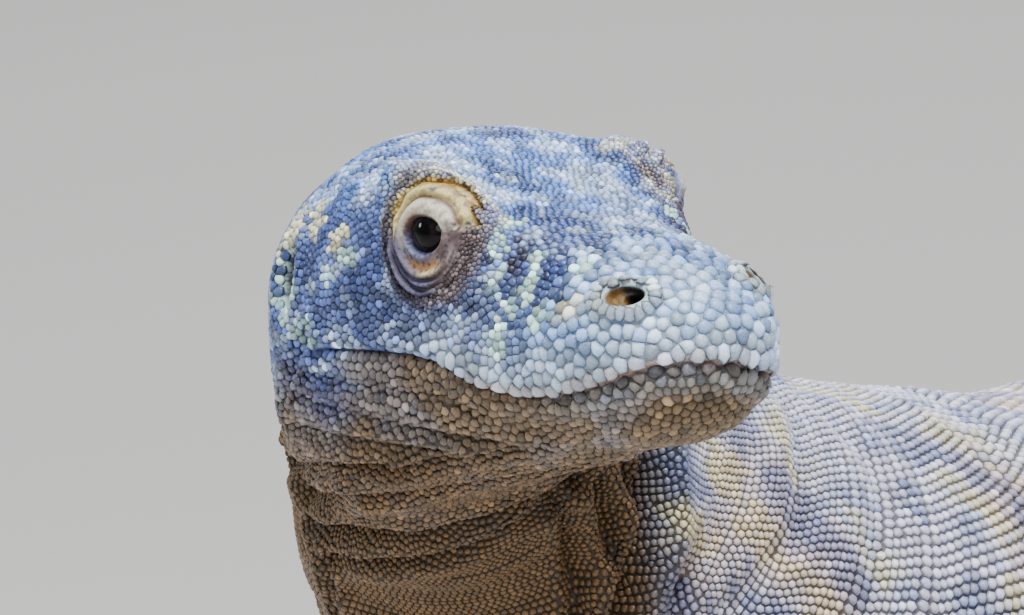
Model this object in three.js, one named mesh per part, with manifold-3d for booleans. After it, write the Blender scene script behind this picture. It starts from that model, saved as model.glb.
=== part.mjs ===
// A life-size komodo dragon, standing, with its head raised and turned to its left.
// Millimetres. +X is forward along the trunk, +Y is the animal's left, +Z is up, and the floor is z = 0.
// The trunk, neck and head are one loft along a spine, divided by thin cuts. Each leg is a second loft.
import * as THREE from "three";
import { mergeVertices } from "three/addons/utils/BufferGeometryUtils.js";
import Module from "manifold-3d";

const wasm = await Module();
wasm.setup();

// ---------- driving dimensions ----------
const CUT = 0.3; // gap between two neighbouring pieces
const HALF_CUT = CUT / 2;
const SINK = 1.2; // how far a sole or the tail is pressed flat at the floor
const FLOOR = 0;

// The head: a straight axis from the snout tip back to the rear of the jaw.
const TIP = new THREE.Vector3(222, 218, 458);
const HEAD_HEADING = 84.3; // degrees to the left of the trunk
const HEAD_LIFT = 5.9; // degrees, nose up
const HEAD_LENGTH = 150;
const RELIEF_END = 200; // the head's swellings reach no farther back than this
const FRAME_REACH = 42; // how far either side of a ring the spine's run is measured
const AXIS_ABOVE_MOUTH = 8; // the axis runs this far above the plane of the mouth
const SNOUT_ROUND = 26; // length over which the blunt snout rounds off

// Eyes, in head coordinates: back from the tip, out from the middle, up from the mouth plane.
const EYE = { back: 91, out: 31.6, up: 35.5, radius: 8.6 };

// The mouth line in side view: back from the tip, up from the mouth plane, and the fall per mm to the
// left, as the lips close a little lower on that side at the front.
const MOUTH_LINE = [
  [-8, 3, 0.1],
  [2, 2.4, 0.1],
  [14, -1.4, 0.09],
  [28, -5.4, 0.06],
  [44, -7.6, 0.02],
  [58, -7.4, 0],
  [70, -5.2, 0],
  [83, 0.8, 0],
  [96, 2.6, 0],
  [114, 3, 0],
  [136, 2.5, 0],
];
const MOUTH_FOOT = 118; // how far back the cut behind the lower jaw reaches its foot

// Sections of the head on its straight axis: back from the tip, half width, height above and below the axis.
const HEAD_SECTIONS = [
  { back: 0, side: 24.5, above: 13, below: 22 },
  { back: 14, side: 25, above: 16, below: 27 },
  { back: 26, side: 28.5, above: 20, below: 30 },
  { back: 44, side: 33, above: 25, below: 32 },
  { back: 60, side: 36, above: 28.5, below: 35 },
  { back: 75, side: 40, above: 34.5, below: 38 },
  { back: 90, side: 43, above: 41, below: 41 },
  { back: 105, side: 45, above: 47.5, below: 45 },
  { back: 120, side: 46.5, above: 51.5, below: 48 },
  { back: 135, side: 47, above: 51, below: 52 },
  { back: 150, side: 46, above: 46, below: 58 },
];

// Sections behind the head: distance along the spine, centre, half width, height above and below.
const BODY_SECTIONS = [
  { name: "atlas", along: 172, at: [192, 56, 437], side: 46, above: 43, below: 62 },
  { name: "nape", along: 204, at: [168, 36, 420], side: 49, above: 46, below: 66 },
  { name: "mid neck", along: 263, at: [126, 13, 380], side: 65, above: 58, below: 73 },
  { name: "neck root", along: 349, at: [68, 0, 323], side: 88, above: 84, below: 86 },
  { name: "shoulders", along: 430, at: [0, 0, 284], side: 102, above: 99, below: 92 },
  { name: "chest", along: 520, at: [-90, -4, 271], side: 114, above: 95, below: 99 },
  { name: "ribs", along: 640, at: [-209, -12, 264], side: 130, above: 100, below: 112 },
  { name: "belly", along: 760, at: [-328, -20, 261], side: 134, above: 102, below: 115 },
  { name: "loin", along: 880, at: [-448, -24, 260], side: 120, above: 100, below: 106 },
  { name: "flank", along: 980, at: [-548, -20, 264], side: 98, above: 93, below: 92 },
  { name: "hips", along: 1060, at: [-628, -12, 263], side: 86, above: 86, below: 78 },
  { name: "vent", along: 1160, at: [-727, 4, 248], side: 68, above: 79, below: 70 },
  { name: "tail root", along: 1280, at: [-838, 30, 208], side: 56, above: 73, below: 62 },
  { name: "tail drop", along: 1400, at: [-942, 64, 156], side: 46, above: 65, below: 54 },
  { name: "tail landing", along: 1530, at: [-1058, 104, 88], side: 38, above: 55, below: 45 },
  { name: "tail rest", along: 1660, at: [-1180, 142, 36], side: 30, above: 45, below: 37 },
  { name: "tail third", along: 1820, at: [-1332, 178, 27], side: 23, above: 35, below: 28 },
  { name: "tail half", along: 2000, at: [-1510, 190, 19], side: 17, above: 26, below: 20 },
  { name: "tail end", along: 2200, at: [-1705, 156, 12], side: 11, above: 17, below: 13 },
  { name: "tail whip", along: 2370, at: [-1856, 78, 6.2], side: 6, above: 9, below: 7.2 },
  { name: "tail tip", along: 2430, at: [-1902, 40, 3.2], side: 3.4, above: 4.4, below: 4.2 },
];

// Nodes along the spine: first and last distance, number of ring steps, and points round each ring.
const LENGTHS = [
  { node: "head", from: 0, to: 150, steps: 20, around: 32 },
  { node: "neck_upper", from: 150, to: 290, steps: 7, around: 28 },
  { node: "neck_lower", from: 290, to: 400, steps: 5, around: 26 },
  { node: "chest", from: 400, to: 590, steps: 5, around: 26 },
  { node: "belly", from: 590, to: 880, steps: 5, around: 26 },
  { node: "pelvis", from: 880, to: 1160, steps: 5, around: 26 },
  { node: "tail_1", from: 1160, to: 1430, steps: 6, around: 16 },
  { node: "tail_2", from: 1430, to: 1740, steps: 7, around: 14 },
  { node: "tail_3", from: 1740, to: 2080, steps: 6, around: 12 },
  { node: "tail_4", from: 2080, to: 2430, steps: 7, around: 8 },
];

// Swellings and hollows of the head, each on both sides: centre (back, out, up) in head coordinates,
// reach along those three, and lift along the outward normal.
const HEAD_RELIEF = [
  { name: "brow ridge", at: [84, 39, 50], reach: [16, 12, 8], lift: 9 },
  { name: "eye socket", at: [91, 44, 35], reach: [12, 12, 10], lift: -2.8 },
  { name: "lore hollow", at: [56, 36, 24], reach: [15, 12, 8], lift: -3 },
  { name: "nostril rim", at: [24, 25, 20], reach: [9, 9, 8], lift: 2.6 },
  { name: "upper lip", at: [50, 36, 2], reach: [34, 16, 8], lift: 2 },
  { name: "cheek", at: [124, 48, 14], reach: [22, 20, 18], lift: 2.6 },
  { name: "lip corner dip", at: [104, 48, -3], reach: [20, 16, 7], lift: -2.4 },
  { name: "jaw rear", at: [142, 46, -16], reach: [18, 20, 18], lift: 2.4 },
];

// A leg: joint positions, radii along it, and the way its foot points (degrees from forward, outwards).
const LEG = {
  fore_left: {
    side: 1, joints: [[4, 52, 262], [-8, 112, 232], [-44, 172, 172], [-22, 178, 104], [-4, 172, 44]],
    wide: [48, 43, 34, 31, 23], thick: [62, 47, 36, 31, 22], footAngle: 22, fore: true,
  },
  fore_right: {
    side: -1, joints: [[4, -52, 262], [16, -112, 230], [2, -174, 170], [34, -182, 104], [62, -176, 44]],
    wide: [48, 43, 34, 31, 23], thick: [62, 47, 36, 31, 22], footAngle: 18, fore: true,
  },
  hind_left: {
    side: 1, joints: [[-628, 40, 250], [-586, 104, 232], [-526, 170, 190], [-566, 184, 120], [-594, 182, 52]],
    wide: [58, 51, 36, 33, 24], thick: [68, 52, 34, 33, 24], footAngle: 24, fore: false,
  },
  hind_right: {
    side: -1, joints: [[-632, -64, 250], [-620, -124, 230], [-584, -192, 184], [-642, -206, 116], [-684, -200, 52]],
    wide: [58, 51, 36, 33, 24], thick: [68, 52, 34, 33, 24], footAngle: 30, fore: false,
  },
};
const LEG_SPLITS = [2, 4]; // joints at the elbow or knee and at the wrist or ankle
const LEG_AROUND = 10;
const LEG_REACH = 48; // how far either side of a ring the leg's run is measured

// Feet: the palm's length and half width, and the toes with their angle, length and root radius. The
// toes' ends are held up by toeLift, so that the claw tips just clear the floor.
const FOOT = {
  fore: {
    palm: 52, halfWidth: 29, height: 30, toeLift: 12.6,
    toes: [[-58, 34, 8.6], [-27, 46, 9.2], [0, 52, 9.6], [24, 50, 9.2], [52, 36, 8.4]],
  },
  hind: {
    palm: 70, halfWidth: 30, height: 34, toeLift: 14,
    toes: [[-40, 40, 9.2], [-18, 56, 10], [4, 68, 10.4], [26, 74, 10.2], [62, 44, 9]],
  },
};
const CLAW = { length: 26, radius: 4.6, droop: 60 };
const TOE_TIP_RADIUS = 5.6;

// ---------- small tools ----------
const radians = THREE.MathUtils.degToRad;
const UP = new THREE.Vector3(0, 0, 1);

// Cubic through rows of numbers, at any spacing: rows is [position, [values]] in rising order.
function interpolate(rows, position) {
  let k = 0;
  while (k < rows.length - 2 && rows[k + 1][0] < position) k += 1;
  const slope = (i) => {
    const before = rows[Math.max(i - 1, 0)];
    const after = rows[Math.min(i + 1, rows.length - 1)];
    return before[1].map((v, n) => (after[1][n] - v) / (after[0] - before[0]));
  };
  const [from, to] = [rows[k], rows[k + 1]];
  const span = to[0] - from[0];
  const t = THREE.MathUtils.clamp((position - from[0]) / span, 0, 1);
  const [m0, m1] = [slope(k), slope(k + 1)];
  const h1 = t * t * (3 - 2 * t);
  return from[1].map(
    (v, n) =>
      v * (1 - h1) +
      to[1][n] * h1 +
      span * (t * (1 - t) * (1 - t) * m0[n] - t * t * (1 - t) * m1[n]),
  );
}

// A closed solid from rings of points: a sphere's grid whose rows are laid on the rings and whose poles
// are the middles of the two end rings.
function loft(rings) {
  const around = rings[0].length;
  const grid = new THREE.SphereGeometry(1, around, rings.length + 1);
  const place = grid.getAttribute("position");
  const middle = (ring) =>
    ring.reduce((sum, p) => sum.add(p), new THREE.Vector3()).divideScalar(ring.length);
  const rows = [null, ...rings, null];
  for (let row = 0; row < rows.length; row += 1) {
    const pole = row === 0 ? middle(rings[0]) : middle(rings.at(-1));
    for (let column = 0; column <= around; column += 1) {
      const p = rows[row] ? rows[row][column % around] : pole;
      place.setXYZ(row * (around + 1) + column, p.x, p.y, p.z);
    }
  }
  return grid;
}

// A manifold solid from a closed three.js geometry.
function solidOf(geometry) {
  const bare = new THREE.BufferGeometry();
  bare.setAttribute("position", geometry.getAttribute("position"));
  bare.setIndex(geometry.index);
  const merged = mergeVertices(bare, 1e-4);
  const corners = merged.index.array;
  const kept = [];
  for (let i = 0; i < corners.length; i += 3) {
    const [a, b, c] = [corners[i], corners[i + 1], corners[i + 2]];
    if (a !== b && b !== c && a !== c) kept.push(a, b, c);
  }
  const made = new wasm.Manifold(
    new wasm.Mesh({
      numProp: 3,
      vertProperties: merged.attributes.position.array,
      triVerts: new Uint32Array(kept),
    }),
  );
  if (made.volume() > 0) return made;
  for (let i = 0; i < kept.length; i += 3) [kept[i + 1], kept[i + 2]] = [kept[i + 2], kept[i + 1]];
  return new wasm.Manifold(
    new wasm.Mesh({
      numProp: 3,
      vertProperties: merged.attributes.position.array,
      triVerts: new Uint32Array(kept),
    }),
  );
}

// A three.js geometry from a manifold solid, in flat facets.
function geometryOf(solid) {
  const mesh = solid.getMesh();
  const made = new THREE.BufferGeometry();
  made.setAttribute("position", new THREE.BufferAttribute(mesh.vertProperties, 3));
  made.setIndex(new THREE.BufferAttribute(mesh.triVerts, 1));
  return made;
}

// The biggest connected body of a solid, without the crumbs that a cut can leave.
function largest(solid) {
  return solid.decompose().sort((a, b) => b.volume() - a.volume())[0];
}

// A box solid between two corners.
function boxSolid(low, high) {
  const box = new THREE.BoxGeometry(high[0] - low[0], high[1] - low[1], high[2] - low[2]);
  box.translate((low[0] + high[0]) / 2, (low[1] + high[1]) / 2, (low[2] + high[2]) / 2);
  return solidOf(box);
}

const power = (value, exponent) => Math.sign(value) * Math.abs(value) ** exponent;

// ---------- the spine and its sections ----------
const headForward = new THREE.Vector3(
  Math.cos(radians(HEAD_HEADING)) * Math.cos(radians(HEAD_LIFT)),
  Math.sin(radians(HEAD_HEADING)) * Math.cos(radians(HEAD_LIFT)),
  Math.sin(radians(HEAD_LIFT)),
);
const headLeft = new THREE.Vector3().crossVectors(UP, headForward).normalize();
const headUp = new THREE.Vector3().crossVectors(headForward, headLeft);

// A point given back from the tip, out to the left and up from the mouth plane.
function inHead(back, left, up) {
  return TIP.clone()
    .addScaledVector(headForward, -back)
    .addScaledVector(headLeft, left)
    .addScaledVector(headUp, up - AXIS_ABOVE_MOUTH);
}

const spineRows = [
  ...HEAD_SECTIONS.map((s) => [
    s.back,
    [...inHead(s.back, 0, AXIS_ABOVE_MOUTH).toArray(), s.side, s.above, s.below],
  ]),
  ...BODY_SECTIONS.map((s) => [s.along, [...s.at, s.side, s.above, s.below]]),
];

// Centre, axes and sizes of the section at a distance along the spine. The axes follow the spine's run
// over a stretch either side, so the rings turn slowly and never cross on the inside of a bend.
function sectionAt(along) {
  const values = interpolate(spineRows, along);
  const ahead = interpolate(spineRows, Math.max(along - FRAME_REACH, 0));
  const behind = interpolate(spineRows, Math.min(along + FRAME_REACH, spineRows.at(-1)[0]));
  const forward = new THREE.Vector3(ahead[0] - behind[0], ahead[1] - behind[1], ahead[2] - behind[2]);
  forward.normalize();
  const left = new THREE.Vector3().crossVectors(UP, forward).normalize();
  return {
    centre: new THREE.Vector3(values[0], values[1], values[2]),
    forward,
    left,
    up: new THREE.Vector3().crossVectors(forward, left),
    side: values[3],
    above: values[4],
    below: values[5],
  };
}

// How square a section is, in its upper and lower half: 1 is an ellipse, less is boxier. The head has
// steep sides under its brows and full lips.
const SQUARENESS = [
  [0, [0.95, 0.85]],
  [26, [0.88, 0.82]],
  [60, [0.62, 0.78]],
  [76, [0.42, 0.76]],
  [92, [0.4, 0.78]],
  [106, [0.5, 0.8]],
  [122, [0.74, 0.82]],
  [136, [0.92, 0.82]],
  [150, [1, 0.8]],
  [200, [1, 0.88]],
  [430, [0.97, 0.96]],
  [900, [0.97, 0.98]],
  [1300, [1.03, 1.02]],
  [2430, [1, 1]],
];

// The snout's front end closes like the quarter of an ellipse.
function snoutRounding(along) {
  const t = 1 - Math.min(along, SNOUT_ROUND) / SNOUT_ROUND;
  return Math.sqrt(Math.max(1 - t * t, 0));
}

// Swellings and hollows of the head at a surface point.
function headRelief(point, outward) {
  const offset = point.clone().sub(TIP);
  const back = -offset.dot(headForward);
  const left = offset.dot(headLeft);
  const up = offset.dot(headUp) + AXIS_ABOVE_MOUTH;
  const lift = HEAD_RELIEF.reduce((sum, { at, reach, lift: height }) => {
    const d =
      ((back - at[0]) / reach[0]) ** 2 +
      ((Math.abs(left) - at[1]) / reach[1]) ** 2 +
      ((up - at[2]) / reach[2]) ** 2;
    return sum + height * Math.exp(-d);
  }, 0);
  return point.addScaledVector(outward, lift);
}

// The ring of skin points at a distance along the spine. grow moves them outwards.
function ringAt(along, around, grow = 0) {
  const { centre, left, up, side, above, below } = sectionAt(along);
  const [upper, lower] = interpolate(SQUARENESS, along);
  const round = snoutRounding(along);
  const ring = [];
  for (let i = 0; i < around; i += 1) {
    const angle = (2 * Math.PI * (i + 0.5)) / around;
    const [c, s] = [Math.cos(angle), Math.sin(angle)];
    const half = s > 0 ? above : below;
    const square = s > 0 ? upper : lower;
    const across = (side * round + grow) * power(c, square);
    const rise = (half * round + grow) * power(s, square);
    const point = centre.clone().addScaledVector(left, across).addScaledVector(up, rise);
    const outward = new THREE.Vector3()
      .addScaledVector(left, across / side)
      .addScaledVector(up, rise / half)
      .normalize();
    ring.push(along < RELIEF_END ? headRelief(point, outward) : point);
  }
  return ring;
}

// Distances of the rings of one length. The snout's rings crowd towards the tip.
function ringDistances(from, to, steps) {
  if (from > 0) {
    return Array.from({ length: steps + 1 }, (_, i) => from + ((to - from) * i) / steps);
  }
  const snoutSteps = 7;
  const snout = Array.from(
    { length: snoutSteps },
    (_, i) => SNOUT_ROUND * (1 - Math.cos(((i + 0.35) / snoutSteps) * (Math.PI / 2))),
  );
  return [...snout, ...ringDistances(SNOUT_ROUND, to, steps - snoutSteps)];
}

// Rings with one more at each end, grow away, so that a grown piece covers the plain one by that much.
function withGrownEnds(distances, grow) {
  return grow > 0 ? [distances[0] - grow, ...distances, distances.at(-1) + grow] : distances;
}

function spineSolid({ from, to, steps, around }, grow = 0) {
  const start = from > 0 ? from + HALF_CUT : from;
  const distances = withGrownEnds(ringDistances(start, to - HALF_CUT, steps), grow);
  return solidOf(loft(distances.map((along) => ringAt(along, around, grow))));
}

const BELOW_FLOOR = boxSolid([-2400, -700, -300], [700, 700, FLOOR]);

// ---------- head, lower jaw and eyes ----------
// A thin curved sheet along the mouth line, turning down behind the lower jaw.
function mouthSheet(thickness) {
  const half = thickness / 2;
  const reach = 90;
  const [rearBack, rearUp] = MOUTH_LINE.at(-1);
  const roof = MOUTH_LINE.map(([back, up, fall]) => [back, up + half, fall]);
  const underside = MOUTH_LINE.map(([back, up, fall]) => [back - half, up - half, fall]);
  const outline = [
    ...roof,
    [rearBack + thickness, rearUp + half, 0],
    [MOUTH_FOOT + thickness, -reach, 0],
    [MOUTH_FOOT - half, -reach, 0],
    ...underside.reverse(),
  ];
  const shape = new THREE.Shape(outline.map(([back, up]) => new THREE.Vector2(back, up)));
  const slab = new THREE.ExtrudeGeometry(shape, { depth: 2 * reach, bevelEnabled: false });
  const place = slab.getAttribute("position");
  for (let i = 0; i < place.count; i += 1) {
    const [back, up, left] = [place.getX(i), place.getY(i), place.getZ(i) - reach];
    const nearest = outline.find(([b, u]) => Math.abs(b - back) + Math.abs(u - up) < 1e-3);
    const p = inHead(back, left, up - nearest[2] * left);
    place.setXYZ(i, p.x, p.y, p.z);
  }
  return solidOf(mergeVertices(slab.deleteAttribute("normal").deleteAttribute("uv")));
}

function eyeCentre(side) {
  return inHead(EYE.back, side * EYE.out, EYE.up);
}

function eyeball(side, grow = 0) {
  const ball = new THREE.SphereGeometry(EYE.radius + grow, 10, 8);
  ball.translate(...eyeCentre(side).toArray());
  return ball;
}

function headAndJaw() {
  let whole = spineSolid(LENGTHS[0]);
  for (const side of [1, -1]) whole = whole.subtract(solidOf(eyeball(side, CUT)));
  const parts = whole.subtract(mouthSheet(CUT)).decompose();
  const [head, jaw] = parts.sort((a, b) => b.volume() - a.volume());
  return { head, jaw };
}

// ---------- legs and feet ----------
function legRows(leg) {
  let along = 0;
  return leg.joints.map((joint, i) => {
    if (i > 0) along += new THREE.Vector3(...joint).distanceTo(new THREE.Vector3(...leg.joints[i - 1]));
    return [along, [...joint, leg.wide[i], leg.thick[i]]];
  });
}

// A limb's ring: thick in the plane of its bend, wide across it.
function legRing(rows, along, around, forwardHint, grow = 0) {
  const a = interpolate(rows, Math.max(along - LEG_REACH, 0));
  const b = interpolate(rows, Math.min(along + LEG_REACH, rows.at(-1)[0]));
  const here = interpolate(rows, along);
  const axis = new THREE.Vector3(b[0] - a[0], b[1] - a[1], b[2] - a[2]).normalize();
  const across = new THREE.Vector3().crossVectors(axis, forwardHint).normalize();
  const fore = new THREE.Vector3().crossVectors(across, axis).normalize();
  return Array.from({ length: around }, (_, i) => {
    const angle = (2 * Math.PI * i) / around;
    return new THREE.Vector3(here[0], here[1], here[2])
      .addScaledVector(fore, (here[4] + grow) * Math.cos(angle))
      .addScaledVector(across, (here[3] + grow) * Math.sin(angle));
  });
}

function legPiece(leg, fromJoint, toJoint, steps, grow = 0) {
  const rows = legRows(leg);
  const [from, to] = [rows[fromJoint][0], rows[toJoint][0]];
  const forward = new THREE.Vector3(1, 0, 0);
  const start = fromJoint === 0 ? from + 2 : from + HALF_CUT;
  const distances = withGrownEnds(ringDistances(start, to - HALF_CUT, steps), grow);
  return solidOf(loft(distances.map((along) => legRing(rows, along, LEG_AROUND, forward, grow))));
}

// The place and direction at a distance along rows of [along, [x, y, z, ...]].
function axisAt(rows, along) {
  const ahead = interpolate(rows, Math.min(along + 0.5, rows.at(-1)[0]));
  const behind = interpolate(rows, Math.max(along - 0.5, 0));
  const values = interpolate(rows, along);
  return {
    values,
    place: new THREE.Vector3(values[0], values[1], values[2]),
    axis: new THREE.Vector3(ahead[0] - behind[0], ahead[1] - behind[1], ahead[2] - behind[2]).normalize(),
  };
}

// A tapering piece through a few points: rows are [along, [x, y, z, half width, half height]].
function taper(rows, steps, around) {
  const length = rows.at(-1)[0];
  const rings = [];
  for (let i = 0; i <= steps; i += 1) {
    const { values, place, axis } = axisAt(rows, (length * i) / steps);
    const across = new THREE.Vector3().crossVectors(UP, axis).normalize();
    const rise = new THREE.Vector3().crossVectors(axis, across);
    rings.push(
      Array.from({ length: around }, (_, k) => {
        const angle = (2 * Math.PI * (k + 0.5)) / around;
        return place
          .clone()
          .addScaledVector(across, values[3] * Math.cos(angle))
          .addScaledVector(rise, values[4] * Math.sin(angle));
      }),
    );
  }
  return loft(rings);
}

function foot(name, leg) {
  const size = leg.fore ? FOOT.fore : FOOT.hind;
  const rows = legRows(leg);
  const wrist = new THREE.Vector3(...leg.joints.at(-1));
  const above = new THREE.Vector3(...leg.joints.at(-2));
  const shin = wrist.clone().sub(above).normalize();
  const heading = radians(leg.side * leg.footAngle);
  const ahead = new THREE.Vector3(Math.cos(heading), Math.sin(heading), 0);
  const aside = new THREE.Vector3(-Math.sin(heading), Math.cos(heading), 0);
  const start = wrist.clone().addScaledVector(shin, HALF_CUT);
  const spot = (forward, height) =>
    new THREE.Vector3(wrist.x, wrist.y, 0).addScaledVector(ahead, forward).setZ(height);
  const row = (along, p, wide, high) => [along, [p.x, p.y, p.z, wide, high]];
  const [wristWide, wristThick] = [leg.wide.at(-1), leg.thick.at(-1)];
  const heel = wrist.clone().addScaledVector(shin, size.height * 0.35);
  const half = size.height / 2;
  const ankle = solidOf(
    loft(
      [0, 1, 2].map((k) => {
        const t = k / 2;
        const ring = legRing(rows, rows.at(-1)[0] - 1, LEG_AROUND, new THREE.Vector3(1, 0, 0));
        const shift = start.clone().sub(wrist).addScaledVector(shin, 1 + t * (wrist.z - half));
        return ring.map((p) => p.clone().add(shift).addScaledVector(ahead, 4 * t));
      }),
    ),
  );
  const palm = solidOf(
    taper(
      [
        row(0, spot(-wristThick * 0.95, half * 0.8), wristWide * 0.62, half * 0.72),
        row(size.palm * 0.35, spot(-2, half * 0.94), wristWide * 1.08, half * 1.02),
        row(size.palm * 0.75, spot(size.palm * 0.45, half * 0.8), size.halfWidth * 0.94, half * 0.86),
        row(size.palm * 1.1, spot(size.palm * 0.82, half * 0.6), size.halfWidth, half * 0.66),
        row(size.palm * 1.25, spot(size.palm, half * 0.5), size.halfWidth * 0.8, half * 0.52),
      ],
      4,
      10,
    ),
  );
  let made = palm.add(ankle);
  const claws = [];
  size.toes.forEach(([angle, length, radius], index) => {
    const turn = heading + radians(leg.side * angle);
    const toward = new THREE.Vector3(Math.cos(turn), Math.sin(turn), 0);
    const share = (index - 2) / 2;
    const root = spot(size.palm * (0.8 - 0.22 * Math.abs(share)), 0).addScaledVector(
      aside,
      leg.side * share * size.halfWidth * 0.66,
    );
    const along = (forward, height) => root.clone().addScaledVector(toward, forward).setZ(height);
    const lie = radius - SINK;
    const toeRows = [
      row(0, along(-6, lie + 2), radius * 1.05, radius),
      row(length * 0.35 + 6, along(length * 0.35, lie + 2.6), radius, radius * 0.95),
      row(length * 0.7 + 6, along(length * 0.7, lie + 1), radius * 0.86, radius * 0.84),
      row(length + 6, along(length, size.toeLift), TOE_TIP_RADIUS, TOE_TIP_RADIUS),
    ];
    made = made.add(solidOf(taper(toeRows, 3, 6)));
    const end = axisAt(toeRows, toeRows.at(-1)[0]);
    claws.push(claw(`claw_${name}_${index + 1}`, end.place.addScaledVector(end.axis, CUT), end.axis));
  });
  return { solid: largest(made.subtract(BELOW_FLOOR)), claws };
}

// A claw starts at the toe's end cap and bends down along an arc.
function claw(name, root, start) {
  const steps = 3;
  const bend = radians(CLAW.droop);
  const rings = [];
  const place = root.clone();
  const across = new THREE.Vector3().crossVectors(UP, start).normalize();
  for (let i = 0; i <= steps; i += 1) {
    const t = i / steps;
    const axis = start.clone().applyAxisAngle(across, bend * t);
    if (i > 0) place.addScaledVector(axis, CLAW.length / steps);
    const rise = new THREE.Vector3().crossVectors(axis, across);
    const radius = CLAW.radius * (1 - t) ** 0.75 + 0.35;
    rings.push(
      Array.from({ length: 5 }, (_, k) => {
        const around = (2 * Math.PI * (k + 0.25)) / 5;
        return place
          .clone()
          .addScaledVector(across, 0.72 * radius * Math.cos(around))
          .addScaledVector(rise, radius * Math.sin(around));
      }),
    );
  }
  return { name, solid: largest(solidOf(loft(rings)).subtract(BELOW_FLOOR)) };
}

// ---------- assembly ----------
const MATERIALS = {
  head: { color: 0x8790a4, roughness: 0.55 },
  neck: { color: 0x8b7d6a, roughness: 0.65 },
  body: { color: 0x9a9aa3, roughness: 0.62 },
  limb: { color: 0x84807c, roughness: 0.65 },
  claw: { color: 0x2c2723, roughness: 0.35 },
  eye: { color: 0x1a120d, roughness: 0.08 },
};

const dragon = new THREE.Group();
function addPiece(name, solid, material) {
  const mesh = new THREE.Mesh(
    geometryOf(solid),
    new THREE.MeshStandardMaterial({ ...MATERIALS[material], metalness: 0 }),
  );
  mesh.name = name;
  dragon.add(mesh);
}

const { head, jaw } = headAndJaw();
addPiece("head", head, "head");
addPiece("lower_jaw", jaw, "head");
for (const [word, side] of [["left", 1], ["right", -1]]) {
  addPiece(`eye_${word}`, solidOf(eyeball(side)), "eye");
}

for (const length of LENGTHS.slice(1)) {
  const solid = spineSolid(length).subtract(BELOW_FLOOR);
  const material = length.node.startsWith("neck") ? "neck" : "body";
  addPiece(length.node, largest(solid), material);
}

// What the legs are cut back from: the neck, trunk and tail, grown by the cut.
const trunkGrown = LENGTHS.slice(2, 7)
  .map((length) => spineSolid(length, CUT))
  .reduce((sum, solid) => sum.add(solid));

for (const [name, leg] of Object.entries(LEG)) {
  const [bend, ankle] = LEG_SPLITS;
  const [top, low] = leg.fore ? ["upper_arm", "forearm"] : ["thigh", "shank"];
  const side = name.split("_")[1];
  addPiece(`${top}_${side}`, largest(legPiece(leg, 0, bend, 5).subtract(trunkGrown)), "limb");
  const kneeRoom = trunkGrown.add(legPiece(leg, 0, bend, 5, CUT));
  addPiece(`${low}_${side}`, largest(legPiece(leg, bend, ankle, 5).subtract(kneeRoom)), "limb");
  const made = foot(name, leg);
  addPiece(`foot_${name}`, made.solid, "limb");
  for (const { name: clawName, solid } of made.claws) addPiece(clawName, solid, "claw");
}

// The frame's origin is the middle of the bounding box, on the floor.
const extent = new THREE.Box3().setFromObject(dragon, true);
dragon.position.set(-(extent.min.x + extent.max.x) / 2, -(extent.min.y + extent.max.y) / 2, -extent.min.z);

export default dragon;
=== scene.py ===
"""A komodo dragon standing still: one scaled hide over the body, with eyes and claws of their own.

Places are arrays with one row for each point, in millimetres. Points are in the row frame, which is
the CAD's: x forwards, y to the animal's left and z up. A place of the head is in the head's frame:
back from the snout's end, to the left, and up from the mouth. Sizes are in millimetres and angles
in radians where nothing else is said.
"""

from __future__ import annotations

import logging
import math
import sys
from collections.abc import Iterator
from contextlib import contextmanager
from dataclasses import dataclass
from enum import Enum

import bpy
import numpy as np
from mathutils import Matrix, Vector
from mathutils.bvhtree import BVHTree
from mathutils.kdtree import KDTree


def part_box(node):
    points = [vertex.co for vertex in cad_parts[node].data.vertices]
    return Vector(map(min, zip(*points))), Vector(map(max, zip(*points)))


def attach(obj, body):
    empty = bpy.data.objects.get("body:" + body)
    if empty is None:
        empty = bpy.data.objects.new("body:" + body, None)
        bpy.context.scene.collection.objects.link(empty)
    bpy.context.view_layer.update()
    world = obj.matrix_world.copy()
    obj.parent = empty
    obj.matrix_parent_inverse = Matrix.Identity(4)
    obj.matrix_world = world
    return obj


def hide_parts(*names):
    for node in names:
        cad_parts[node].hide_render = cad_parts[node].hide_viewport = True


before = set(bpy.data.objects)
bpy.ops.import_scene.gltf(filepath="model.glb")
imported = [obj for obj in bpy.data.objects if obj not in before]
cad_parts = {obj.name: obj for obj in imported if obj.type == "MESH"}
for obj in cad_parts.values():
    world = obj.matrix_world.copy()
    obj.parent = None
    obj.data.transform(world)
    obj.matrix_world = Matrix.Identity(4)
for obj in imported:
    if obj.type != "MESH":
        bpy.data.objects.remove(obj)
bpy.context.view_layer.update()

LOG = logging.getLogger("komodo")
MM = 0.001
MERGE = 0.00002
PAINT = "hide"
EYES = ("eye_left", "eye_right")
Array = np.ndarray
Object = bpy.types.Object
Rgb = tuple[float, float, float]
Spot = tuple[float, float, float]


# ---- helpers


def step(low: float, high: float, x: Array) -> Array:
    """Smooth ramp from 0 at low to 1 at high; low may be the larger."""
    t = np.clip((x - low) / (high - low), 0.0, 1.0)
    return t * t * (3.0 - 2.0 * t)


def bump(x: Array, centre: float, width: float) -> Array:
    """Bell curve of x, 1 at centre and near nothing two widths away."""
    return np.exp(-(((x - centre) / width) ** 2))


def unit(v: Array) -> Array:
    """Vectors of length one along the last axis."""
    return v / np.maximum(np.linalg.norm(v, axis=-1, keepdims=True), 1e-9)


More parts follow.
